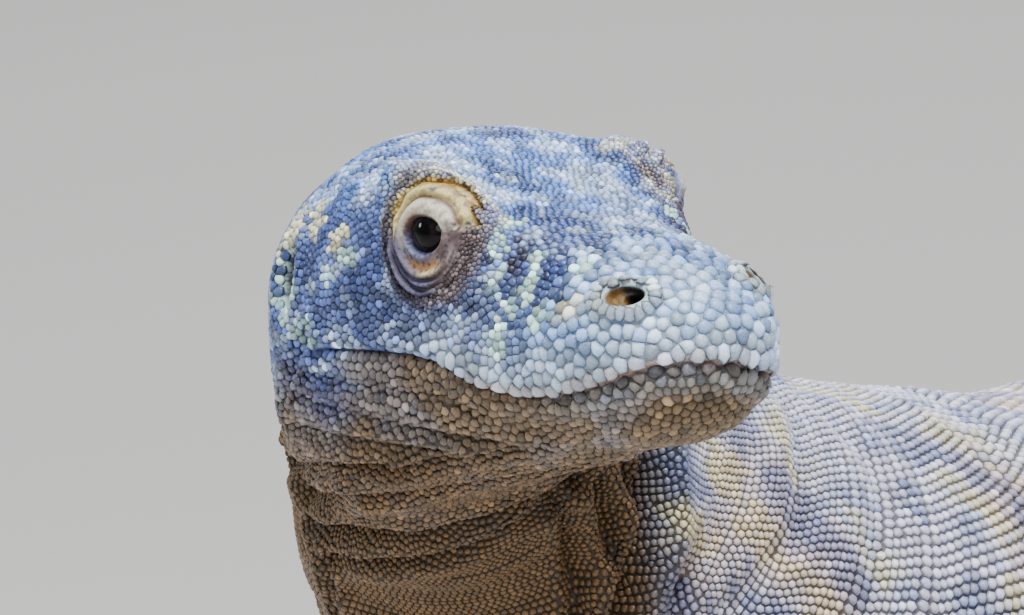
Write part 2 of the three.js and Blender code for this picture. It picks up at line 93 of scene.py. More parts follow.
def ripple(p: Array, size: float, seed: int) -> Array:
    """Soft cloudy variation over space, about -1 to 1.

    Args:
        p: points in millimetres, one per row.
        size: width of one cloud in millimetres.
        seed: picks the clouds' places.

    Returns:
        One value for each point.
    """
    rng = np.random.default_rng(seed)
    total = np.zeros(len(p))
    for _ in range(9):
        way = unit(rng.normal(size=3)) * rng.uniform(0.7, 1.9) * math.pi / size
        total += np.sin(p @ way + rng.uniform(0.0, 6.3))
    return np.clip(total / 3.2, -1.0, 1.0)


def linear(rgb: Rgb) -> Array:
    """Linear light values of a colour given as 0 to 255."""
    c = np.asarray(rgb, float) / 255.0
    return np.where(c <= 0.04045, c / 12.92, ((c + 0.055) / 1.055) ** 2.4)


def mix(a: Array, b: Array, share: Array) -> Array:
    """Colours a turned towards b by a share for each row."""
    share = np.asarray(share)[..., None]
    return a * (1.0 - share) + b * share


def plain(rgb: Rgb, count: int) -> Array:
    """Rows of one linear colour."""
    return np.tile(linear(rgb), (count, 1))


def glaze(base: Array, *coats: tuple[Rgb, Array]) -> Array:
    """Colours with coats of paint laid over them in order.

    Args:
        base: linear colours, one row per point.
        coats: the colour of each coat, and its share at each point.

    Returns:
        The new linear colours.
    """
    for rgb, share in coats:
        base = mix(base, linear(rgb), share)
    return base


def deselect() -> None:
    """Leave nothing selected."""
    for o in bpy.context.selected_objects:
        o.select_set(False)


def only(obj: Object) -> None:
    """Select obj alone and make it active.

    Args:
        obj: the object to select.
    """
    deselect()
    obj.select_set(True)
    bpy.context.view_layer.objects.active = obj


@contextmanager
def editing(obj: Object, choose: str = "SELECT") -> Iterator[None]:
    """Edit mode on one object, with object mode again afterwards.

    Args:
        obj: the object to edit.
        choose: what select_all does first, or nothing to keep the selection.

    Returns:
        The context that the edit operators run in.
    """
    only(obj)
    bpy.ops.object.mode_set(mode="EDIT")
    if choose:
        bpy.ops.mesh.select_all(action=choose)
    yield
    bpy.ops.object.mode_set(mode="OBJECT")


def add_object(name: str, data: bpy.types.ID) -> Object:
    """A new object in the scene.

    Args:
        name: the object's name.
        data: its mesh, light or camera.

    Returns:
        The object.
    """
    obj = bpy.data.objects.new(name, data)
    bpy.context.scene.collection.objects.link(obj)
    return obj


def cad_copy(node: str, name: str) -> Object:
    """A CAD node's mesh as an object of its own, with its doubles merged.

    Args:
        node: the CAD node.
        name: the new object's name.

    Returns:
        The copy, without materials.
    """
    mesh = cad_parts[node].data.copy()
    mesh.materials.clear()
    obj = add_object(name, mesh)
    with editing(obj):
        bpy.ops.mesh.remove_doubles(threshold=MERGE)
    return obj


def join(pieces: list[Object], name: str) -> Object:
    """One object of several.

    Args:
        pieces: the objects to join.
        name: the name of the whole.

    Returns:
        The joined object.
    """
    only(pieces[0])
    for obj in pieces:
        obj.select_set(True)
    bpy.ops.object.join()
    pieces[0].name = name
    return pieces[0]


def read(items: bpy.types.bpy_prop_collection, what: str, kind: type, width: int = 1) -> Array:
    """One value of all of a mesh's vertices, edges, corners or faces.

    Args:
        items: what to read from.
        what: the value's name.
        kind: the type of its numbers.
        width: how many numbers each item has.

    Returns:
        The numbers, in rows where each item has more than one.
    """
    values = np.empty(len(items) * width, kind)
    items.foreach_get(what, values)
    return values if width == 1 else values.reshape(-1, width)


def read_points(mesh: bpy.types.Mesh) -> tuple[Array, Array]:
    """Places in millimetres and outward normals of a mesh's vertices.

    Args:
        mesh: the mesh to read.

    Returns:
        Places and normals, one row per vertex.
    """
    places = read(mesh.vertices, "co", np.float32, 3)
    normals = read(mesh.vertices, "normal", np.float32, 3)
    return places.astype(float) / MM, normals.astype(float)


def write_points(mesh: bpy.types.Mesh, points: Array) -> None:
    """Put a mesh's vertices at places given in millimetres."""
    mesh.vertices.foreach_set("co", (points * MM).astype(np.float32).ravel())
    mesh.update()


def edge_pairs(mesh: bpy.types.Mesh) -> Array:
    """The two vertices of every edge."""
    return read(mesh.edges, "vertices", np.int32, 2)


def search_tree(points: Array) -> KDTree:
    """A tree that finds the nearest of some points.

    Args:
        points: the points, one per row.

    Returns:
        The balanced tree.
    """
    tree = KDTree(len(points))
    for i, p in enumerate(points.tolist()):
        tree.insert(p, i)
    tree.balance()
    return tree


def relax(points: Array, pairs: Array, amount: Array, rounds: int) -> Array:
    """Ease each point towards the middle of its neighbours.

    Args:
        points: places, one per row.
        pairs: neighbours, two per row.
        amount: share of the way moved by each point in a round.
        rounds: how often to repeat.

    Returns:
        The eased places.
    """
    n = len(points)
    a, b = pairs[:, 0], pairs[:, 1]
    count = np.maximum(np.bincount(a, minlength=n) + np.bincount(b, minlength=n), 1)
    points = points.copy()
    for _ in range(rounds):
        mean = np.empty_like(points)
        for k in range(3):
            mean[:, k] = np.bincount(a, points[b, k], n) + np.bincount(b, points[a, k], n)
        points += (mean / count[:, None] - points) * amount[:, None]
    return points


def paint(mesh: bpy.types.Mesh, colours: Array) -> None:
    """Store a linear colour on each vertex, where the finishes read it.

    Args:
        mesh: the mesh that gets the colours.
        colours: linear colours, one row per vertex.
    """
    attribute = mesh.attributes.new(PAINT, "FLOAT_COLOR", "POINT")
    rgba = np.ones((len(colours), 4), np.float32)
    rgba[:, :3] = colours
    attribute.data.foreach_set("color", rgba.ravel())


def new_mesh(name: str, points: Array, faces: list[Array]) -> Object:
    """A mesh object from places in millimetres and blocks of faces.

    Args:
        name: the object's name.
        points: vertex places, one per row.
        faces: blocks of faces, each with one row per face.

    Returns:
        The new object, smooth shaded.
    """
    mesh = bpy.data.meshes.new(name)
    mesh.vertices.add(len(points))
    write_points(mesh, points)
    totals = np.concatenate([np.full(len(f), f.shape[1]) for f in faces])
    corners = np.concatenate([f.ravel() for f in faces])
    mesh.loops.add(len(corners))
    mesh.loops.foreach_set("vertex_index", corners.astype(np.int32))
    mesh.polygons.add(len(totals))
    starts = np.concatenate([[0], np.cumsum(totals)[:-1]])
    mesh.polygons.foreach_set("loop_start", starts.astype(np.int32))
    mesh.update(calc_edges=True)
    mesh.validate()
    mesh.shade_smooth()
    return add_object(name, mesh)


# ---- body plan


@dataclass(frozen=True)
class HeadAxes:
    """The head's own frame: back from the snout's end, to the left, and up from the mouth."""

    eye_back: float = 91.0
    eye_out: float = 31.6
    eye_up: float = 35.5
    heading: float = 84.3
    lift: float = 5.9

    @property
    def forward(self) -> Array:
        """The way the snout points."""
        a, e = math.radians(self.heading), math.radians(self.lift)
        return np.array([math.cos(a) * math.cos(e), math.sin(a) * math.cos(e), math.sin(e)])

    @property
    def left(self) -> Array:
        """The animal's left."""
        return unit(np.cross([0.0, 0.0, 1.0], self.forward))

    @property
    def up(self) -> Array:
        """Square to the other two axes."""
        return np.cross(self.forward, self.left)

    @property
    def tip(self) -> Array:
        """Snout's end on the mouth plane, found from the two eyes."""
        boxes = [np.array(c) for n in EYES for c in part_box(n)]
        return np.mean(boxes, axis=0) / MM + self.forward * self.eye_back - self.up * self.eye_up

    def inward(self, points: Array) -> Array:
        """Row-frame places as back, left and up of the head."""
        q = points - self.tip
        return np.stack([-(q @ self.forward), q @ self.left, q @ self.up], axis=1)

    def outward(self, places: Array) -> Array:
        """Back, left and up of the head as row-frame places.

        Args:
            places: in the head's frame.

        Returns:
            The same places in the row frame.
        """
        places = np.atleast_2d(places)
        axes = np.stack([-self.forward, self.left, self.up])
        return self.tip + places @ axes


HEAD = HeadAxes()
SNOUT = np.array([222.0, 218.0, 458.0]) - 8.0 * HEAD.up
HOME = HEAD.tip - SNOUT


@dataclass
class Line:
    """A centre line with a radius: the spine or one leg.

    Attributes:
        along: distance of each station from the line's start.
        places: place of each station.
        girth: mean radius at each station.
        pitch: distance between two fine samples.
    """

    along: Array
    places: Array
    girth: Array
    pitch: float = 4.0

    def __post_init__(self) -> None:
        """Sample the line finely, with its forward, left and up axes."""
        self.s = np.arange(self.along[0], self.along[-1] + 0.1, self.pitch)
        self.centre = np.stack([self.curve(self.places[:, k]) for k in range(3)], axis=1)
        self.radius = np.interp(self.s, self.along, self.girth)
        reach = max(2, int(30 / self.pitch))
        ahead = np.clip(np.arange(len(self.s)) + reach, 0, len(self.s) - 1)
        behind = np.clip(np.arange(len(self.s)) - reach, 0, len(self.s) - 1)
        self.forward = unit(self.centre[behind] - self.centre[ahead])
        upright = np.array([0.0, 0.0, 1.0])
        if abs(self.forward[:, 2]).max() > 0.93:
            upright = np.array([1.0, 0.0, 0.15])
        self.left = unit(np.cross(upright, self.forward))
        self.up = np.cross(self.forward, self.left)

    def curve(self, values: Array) -> Array:
        """Values at the fine samples, on a smooth curve through the stations.

        Args:
            values: one value for each station.

        Returns:
            One value for each fine sample.
        """
        slope = np.gradient(values, self.along)
        k = np.clip(np.searchsorted(self.along, self.s, "right") - 1, 0, len(self.along) - 2)
        span = self.along[k + 1] - self.along[k]
        t = (self.s - self.along[k]) / span
        return (
            values[k] * (1 + 2 * t) * (1 - t) ** 2
            + slope[k] * span * t * (1 - t) ** 2
            + values[k + 1] * t * t * (3 - 2 * t)
            + slope[k + 1] * span * t * t * (t - 1)
        )

    def nearest(self, points: Array) -> tuple[Array, Array]:
        """The nearest sample of each point by girth, and how many radii away it is.

        Args:
            points: places, one per row.

        Returns:
            Sample numbers, and distances in units of the line's radius.
        """
        which = np.empty(len(points), np.int32)
        stride = 8
        rough = self.centre[::stride].astype(np.float32)
        rough_radius = self.radius[::stride].astype(np.float32)
        for i in range(0, len(points), 20000):
            p = points[i : i + 20000].astype(np.float32)
            square = (p**2).sum(1)[:, None] - 2 * p @ rough.T + (rough**2).sum(1)
            which[i : i + 20000] = (square / rough_radius**2).argmin(1) * stride
        best = np.full(len(points), 1e9)
        start = which.copy()
        for shift in range(-stride, stride + 1):
            k = np.clip(start + shift, 0, len(self.s) - 1)
            score = np.linalg.norm(points - self.centre[k], axis=1) / self.radius[k]
            better = score < best
            best[better], which[better] = score[better], k[better]
        return which, best

    def station(self, points: Array) -> Array:
        """Distance along the line of the nearest sample to each point."""
        return self.s[self.nearest(points)[0]]

    def round_about(self, points: Array) -> tuple[Array, Array]:
        """Distance along the line, and angle round it from the top, of each point.

        Args:
            points: in the row frame.

        Returns:
            Distances in millimetres, and angles in radians.
        """
        k, _ = self.nearest(points)
        q = points - self.centre[k]
        s = self.s[k] - (q * self.forward[k]).sum(1)
        return s, np.arctan2((q * self.left[k]).sum(1), (q * self.up[k]).sum(1))


SPINE_TABLE = (
    (172, 192, 56, 437, 50), (204, 168, 36, 420, 53), (263, 126, 13, 380, 65),
    (349, 68, 0, 323, 86), (430, 0, 0, 284, 99), (520, -90, -4, 271, 105),
    (640, -209, -12, 264, 118), (760, -328, -20, 261, 121), (880, -448, -24, 260, 111),
    (980, -548, -20, 264, 95), (1060, -628, -12, 263, 84), (1160, -727, 4, 248, 71),
    (1280, -838, 30, 208, 62), (1400, -942, 64, 156, 53), (1530, -1058, 104, 88, 44),
    (1660, -1180, 142, 36, 36), (1820, -1332, 178, 27, 27), (2000, -1510, 190, 19, 20),
    (2200, -1705, 156, 12, 13), (2370, -1856, 78, 6.2, 7), (2430, -1902, 40, 3.2, 4),
)
LEG_TABLE = {
    "fore_left": ((4, 52, 262), (-8, 112, 232), (-44, 172, 172), (-22, 178, 104), (-4, 172, 44)),
    "fore_right": ((4, -52, 262), (16, -112, 230), (2, -174, 170), (34, -182, 104), (62, -176, 44)),
    "hind_left": (
        (-628, 40, 250), (-586, 104, 232), (-526, 170, 190), (-566, 184, 120), (-594, 182, 52),
    ),
    "hind_right": (
        (-632, -64, 250), (-620, -124, 230), (-584, -192, 184), (-642, -206, 116), (-684, -200, 52),
    ),
}
LEG_GIRTH = {"fore": (55, 45, 35, 31, 23), "hind": (63, 51, 35, 33, 24)}


def make_spine() -> Line:
    """The spine from the snout's end to the tail's end.

    Returns:
        The spine with its radius.
    """
    head_along = np.array([0.0, 50.0, 100.0, 140.0])
    head = HEAD.outward(np.stack([head_along, 0 * head_along, 0 * head_along + 8.0], axis=1))
    table = np.array(SPINE_TABLE, float)
    return Line(
        np.concatenate([head_along, table[:, 0]]),
        np.concatenate([head, table[:, 1:4] + HOME]),
        np.concatenate([[24, 32, 44, 49], table[:, 4]]),
    )


def make_leg(name: str) -> Line:
    """The centre line of one leg from body to ankle.

    Args:
        name: the leg's key in the leg table.

    Returns:
        The leg's line with its radius.
    """
    places = np.array(LEG_TABLE[name], float) + HOME
    along = np.concatenate([[0], np.cumsum(np.linalg.norm(np.diff(places, axis=0), axis=1))])
    return Line(along, places, np.array(LEG_GIRTH[name[:4]], float))


# ---- head detail


MOUTH_TABLE = np.array(
    [
        (-8, 1.4, 0.2), (2, 1.2, 0.2), (14, -1.8, 0.16), (28, -5.4, 0.07), (44, -7.6, 0.02),
        (58, -7.4, 0), (70, -5.2, 0), (83, 0.8, 0), (96, 2.6, 0), (114, 3, 0), (136, 2.5, 0),
    ],
    float,
)
MOUTH_END = 134.0


def both_sides(places: Array) -> Array:
    """The head's places with those on the right turned over to the left."""
    return np.stack([places[:, 0], np.abs(places[:, 1]), places[:, 2]], axis=1)


def above_mouth(places: Array) -> Array:
    """Height above the closed mouth's line, of places in the head's frame.

    Args:
        places: in the head's frame.

    Returns:
        Heights in millimetres, below nothing under the line.
    """
    up = np.interp(places[:, 0], MOUTH_TABLE[:, 0], MOUTH_TABLE[:, 1])
    fall = np.interp(places[:, 0], MOUTH_TABLE[:, 0], MOUTH_TABLE[:, 2])
    return places[:, 2] - up + fall * places[:, 1]


@dataclass(frozen=True)
class Orbit:
    """One eye's opening and the folds round it, seen along the eye's own axis.

    Attributes:
        side: 1 for the left eye, -1 for the right one.
        half_long: half of the opening's length, front to back.
        half_high: half of its height.
        ball: the eyeball's radius.
        lid: thickness of the lids over it.
        drop: how far the opening's middle lies under the eyeball's.
        sweep: how fast the brow's bands move out towards the front corner.
        forward_turn: how far the axis turns forwards.
        upward_turn: how far it turns upwards.
    """

    side: float
    half_long: float = 6.0
    half_high: float = 4.8
    ball: float = 8.6
    lid: float = 0.9
    drop: float = 0.9
    sweep: float = 0.06
    forward_turn: float = 0.24
    upward_turn: float = 0.08

    @property
    def centre(self) -> Array:
        """The eyeball's centre in the head's frame."""
        return np.array([HEAD.eye_back, self.side * HEAD.eye_out, HEAD.eye_up])

    def axes(self) -> tuple[Array, Array, Array]:
        """Forward, up and outward axes of the opening, in the head's frame.

        Returns:
            Three vectors of length one: forward, up and outward.
        """
        out = unit(np.array([-self.forward_turn, self.side, self.upward_turn]))
        ahead = np.array([-1.0, 0.0, 0.0])
        ahead = unit(ahead - out * (ahead @ out))
        high = np.cross(out, ahead) * self.side
        return ahead, high * (1 if high[2] > 0 else -1), out

    def look(self, places: Array) -> tuple[Array, Array, Array, Array]:
        """Forward, up and outward of each place, and its distance past the opening's rim.

        Args:
            places: in the head's frame.

        Returns:
            Forward, up, outward and past the rim, each in millimetres.
        """
        ahead, high, out = self.axes()
        q = places - self.centre
        x, y, z = q @ ahead, q @ high + self.drop, q @ out
        angle = np.arctan2(y, x)
        across = (np.cos(angle) / self.half_long) ** 2 + (np.sin(angle) / self.half_high) ** 2
        rim = 1.0 / np.sqrt(across)
        wide = 1.0 + np.where(x < 0, 0.7, 0.03) * np.cos(angle) ** 2
        return x, y, z, (np.hypot(x, y) - rim) * wide

    def over(self, x: Array, y: Array) -> Array:
        """Height over the line from the rear corner to the front one."""
        return y - 2.2 * step(1.0, 6.0, x) - 0.07 * np.maximum(x - 6.0, 0.0)

    def band(self, x: Array, past: Array) -> Array:
        """Distance past the rim for the brow's bands, which widen towards the front."""
        return past - self.sweep * np.maximum(x - 3, 0)

    def folds(self, x: Array, y: Array, past: Array) -> Array:
        """Height of the lids' rolls and creases past the opening's rim.

        Args:
            x: forward of the eye's middle.
            y: above it.
            past: past the opening's rim.

        Returns:
            The heights.
        """
        soft = 2.5 * step(-1, -7, x)
        upper = step(-1.5 - soft, 2.0 + soft, self.over(x, y))
        front = step(2.0, 9.0, x)
        band = self.band(x, past)
        roll = 1.9 * bump(band, 3.3, 1.9) + 0.6 * bump(band, 7.3, 1.0) - 0.8 * bump(band, 5.8, 0.6)
        roll -= 1.2 * bump(band, 9.4, 0.9) - 1.4 * bump(band, 12.2, 2.0)
        under = 0.6 * bump(past, 1.2, 0.8) - 0.9 * bump(past, 4.0, 1.1) + 0.9 * bump(past, 6.1, 0.9)
        under += 0.9 * (bump(past, 8.6, 0.7) + bump(past, 10.8, 0.7)) - bump(past, 7.4, 0.6)
        under -= 0.9 * bump(past, 9.7, 0.55) + 1.2 * bump(past, 12.0, 0.7)
        under += 0.9 * bump(past, 13.4, 0.9)
        calm = 1.0 - 0.7 * front
        return (upper * roll * (1 - 0.35 * front) + (1 - upper) * under * calm) * step(20, 15, past)


ORBITS = (Orbit(1.0), Orbit(-1.0))
EAR_BACK, EAR_UP = 151.0, 21.0


@dataclass(frozen=True)
class Nostril:
    """Both nostrils: where they open, which way they face and how they slant."""

    centre: Spot = (22.3, 22.4, 21.5)
    facing: Spot = (-0.36, 0.76, 0.54)
    slant: Spot = (-0.73, -0.67, 0.0)
    half_long: float = 4.7
    half_high: float = 2.9

    def local(self, places: Array) -> tuple[Array, Array, Array]:
        """Places along the nostril, across it and out of it, for the nearer one.

        Args:
            places: in the head's frame.

        Returns:
            Along, across and outward, each in millimetres.
        """
        q = both_sides(places) - np.array(self.centre)
        out = unit(np.array(self.facing))
        long = np.array(self.slant)
        long = unit(long - out * (long @ out))
        return q @ long, q @ np.cross(out, long), q @ out

    def reach(self, places: Array) -> Array:
        """Distance from the nearer nostril's axis, in units of its own half size.

        Args:
            places: in the head's frame.

        Returns:
            One distance for each place.
        """
        along, across, depth = self.local(places)
        beside = np.where((depth > 8) | (depth < -15), 9.0, 0.0)
        return np.hypot(along / self.half_long, across / self.half_high) + beside

    def press(self, places: Array) -> Array:
        """How places in the hollow and its hole move inwards along the nostril's axis.

        Args:
            places: in the head's frame.

        Returns:
            One move for each.
        """
        depth = 2.2 * step(1.2, 0.75, self.reach(places)) + 5.5 * step(1.2, 0.7, self.pit(places))
        way = np.tile(unit(np.array(self.facing)), (len(places), 1))
        way[:, 1] *= np.sign(places[:, 1])
        return -depth[:, None] * way

    def pit(self, places: Array) -> Array:
        """Distance from the dark hole at the nostril's front end, in units of its size."""
        along, across, depth = self.local(places)
        return np.hypot((along - 1.4) / 2.3, across / 1.45) + np.where(depth > 6, 9.0, 0.0)


NOSTRIL = Nostril()


def ear_range(places: Array) -> Array:
    """Distance from the nearer ear in units of its own half size.

    Args:
        places: in the head's frame.

    Returns:
        One range for each place, below 1 in the ear.
    """
    back = (places[:, 0] - EAR_BACK) / 5.0
    rise = (places[:, 2] - EAR_UP) / 9.0
    return np.where(np.abs(places[:, 1]) > 25, np.hypot(back, rise), 9.0)


@dataclass(frozen=True)
class Crease:
    """A groove or ridge that follows a few waypoints over the hide.

    Attributes:
        way: waypoints in the head's frame, in millimetres.
        width: half width of the groove.
        depth: how far it sinks; below nothing, it stands up.
        mirrored: whether it is on both sides.
    """

    way: tuple[Spot, ...]
    width: float
    depth: float
    mirrored: bool = True

    def distance(self, places: Array) -> Array:
        """Distance of each place from the crease's line.

        Args:
            places: in the head's frame.

        Returns:
            The distances.
        """
        p = places.copy()
        way = np.array(self.way, float)
        if self.mirrored:
            p[:, 1] = np.abs(p[:, 1])
            way[:, 1] = np.abs(way[:, 1])
        best = np.full(len(p), 1e9)
        for a, b in zip(way[:-1], way[1:]):
            d = b - a
            t = np.clip((p - a) @ d / (d @ d), 0, 1)
            best = np.minimum(best, np.linalg.norm(p - a - t[:, None] * d, axis=1))
        return best

    def shade(self, places: Array) -> Array:
        """How much painted shade each place gets from lying in the crease."""
        return bump(self.distance(places), 0, self.width)


def row(*frame_places: Spot) -> tuple[Spot, ...]:
    """Row-frame waypoints as waypoints of the head's frame."""
    found = HEAD.inward(np.array(frame_places, float))
    return tuple(tuple(p) for p in found)


def creases(*rows: tuple[tuple[Spot, ...], float, float], mirrored: bool = True) -> tuple[Crease, ...]:
    """Creases from rows of waypoints, half width and depth."""
    return tuple(Crease(way, width, depth, mirrored) for way, width, depth in rows)


EYE_CREASES = creases(
    ((
        (101, 42, 40), (100, 42.5, 34), (97.7, 43, 28), (92, 42.6, 22), (84.4, 41.5, 19), (77, 40, 18),
        (70.5, 38, 19), (66.6, 35, 24),
    ), 0.9, 1.7),
    ((
        (104, 43, 42), (102, 43, 36), (100.4, 43.7, 27.8), (96, 43.3, 20), (87, 41.8, 15.4),
        (77, 40, 14.7), (68.4, 37.5, 17),
    ), 1.0, 1.3),
)
JAW_CREASES = creases(
    ((
        (141.6, 47.5, -4), (124, 46, -6.6), (100.6, 42.2, -7.5), (83, 39.6, -8.8), (72.5, 35.6, -13.4),
    ), 1.5, 2.6),
    ((
        (146, 46.8, -10.7), (127.7, 44.3, -15.2), (105, 40, -17.7), (84.8, 34.3, -20.3), (67, 27, -21.5),
    ), 1.7, 2.8),
    (((154, 44, -20), (133, 41.5, -23), (110, 37, -24), (89.4, 31.5, -24.2)), 1.8, 2.8),
    (((136, 48, 8), (140.3, 47.8, 3.5), (147.5, 47, -5.3), (157.4, 44.6, -14.4), (163, 42, -24)), 2.0, 4.0),
    (((145.9, 37, -31.9), (117.6, 32.6, -29.9), (89.2, 28.5, -26.4), (62.8, 23.6, -22.4)), 2.2, 3.8),
)
HEAD_CREASES = (
    creases((((106, 37, 49), (101, 39.3, 46), (93, 36, 49), (86, 30.2, 47.5), (75, 28, 41.5)), 1.3, 2.2))
    + EYE_CREASES
    + JAW_CREASES
    + creases(
        (((106, 37, 50), (102, 41, 43), (100, 43, 33)), 1.2, 1.1),
        (((82, 36, 36.5), (76, 32, 38.5), (69, 28, 38.5)), 1.1, 1.4),
        (((130, 47, 9), (116, 46.5, 7.5), (100, 44, 8), (86, 42, 8)), 1.4, 1.0),
        (((60, 30, 8.5), (48, 28, 12), (36, 26, 13)), 1.6, 0.9),
        (((70, 24, 40), (60, 22, 36), (48, 19, 33), (37, 17, 30)), 1.8, -1.0),
    )
)
THROAT_CREASES = creases(
    (((222, -1.4, -38.7), (180, -24, -36), (145.9, -37, -31.9), (117.6, -32.6, -30)), 3.0, 5.5),
    ((
        (199.8, -11.3, -45), (151, -29.5, -41.5), (135.3, -21.6, -40.4), (108, -16.6, -36),
        (83.9, -9.7, -31.2), (60, -6, -26),
    ), 3.2, 5.6),
    ((
        (213.8, -2, -56.3), (181.2, -9, -55.4), (158.9, -7, -54.2), (144.2, 3.2, -52),
        (136.7, 18.5, -47.6), (142.9, 41.5, -43.8),
    ), 3.2, 6.0),
    ((
        (219.4, 3.2, -65.4), (195, -0.8, -65.5), (173.2, 1.7, -64.3), (157.4, 8.2, -60.8),
        (145.3, 18.8, -55.2), (143.4, 34.7, -49.2),
    ), 3.2, 5.2),
    (((145.4, 37.6, -51), (153.2, 46.3, -62.6), (159.5, 51.8, -75), (166, 54, -88)), 2.6, 4.6),
    (((146.9, 49.9, -45), (153.4, 58.9, -58.5), (157.7, 63.8, -70.8), (162.2, 62, -84)), 2.6, 5.2),
    (((151.3, 63.3, -42.8), (154.7, 68.4, -54), (156.9, 69.8, -65.8), (160.6, 67.3, -80)), 2.4, 5.0),
    ((
        (155, 74.5, -32), (155.5, 74.8, -42.7), (156.4, 75.8, -58), (158.8, 73, -72), (162, 68, -85),
        (168, 60, -104),
    ), 4.4, 12.0),
    (((209.5, -0.6, -60), (217.7, 6, -72.7), (226.7, 14.3, -85)), 2.4, 4.5),
    (row((943, 78, 392), (938, 84, 366), (944, 91, 345), (952, 92, 322)), 3.0, 4.5),
    mirrored=False,
)


# ---- hide


class Zone(Enum):
    """Parts of the coat, each one a piece or a few pieces of scales."""

    HEAD = "head"
    NECK = "neck"
    TRUNK = "trunk"
    TAIL = "tail"
    LEGS = "legs"


def near_ground(points: Array, s: Array, top: float = 75, full: float = 30) -> Array:
    """How low each point of the feet lies, from 0 at top to 1 at full; nothing on the tail."""
    return step(top, full, points[:, 2]) * step(1500, 1400, s)


INSET = ((0, 150, 300, 450, 1200, 2000, 2430), (0.6, 0.6, 0.7, 1.1, 1.2, 0.7, 0.4))


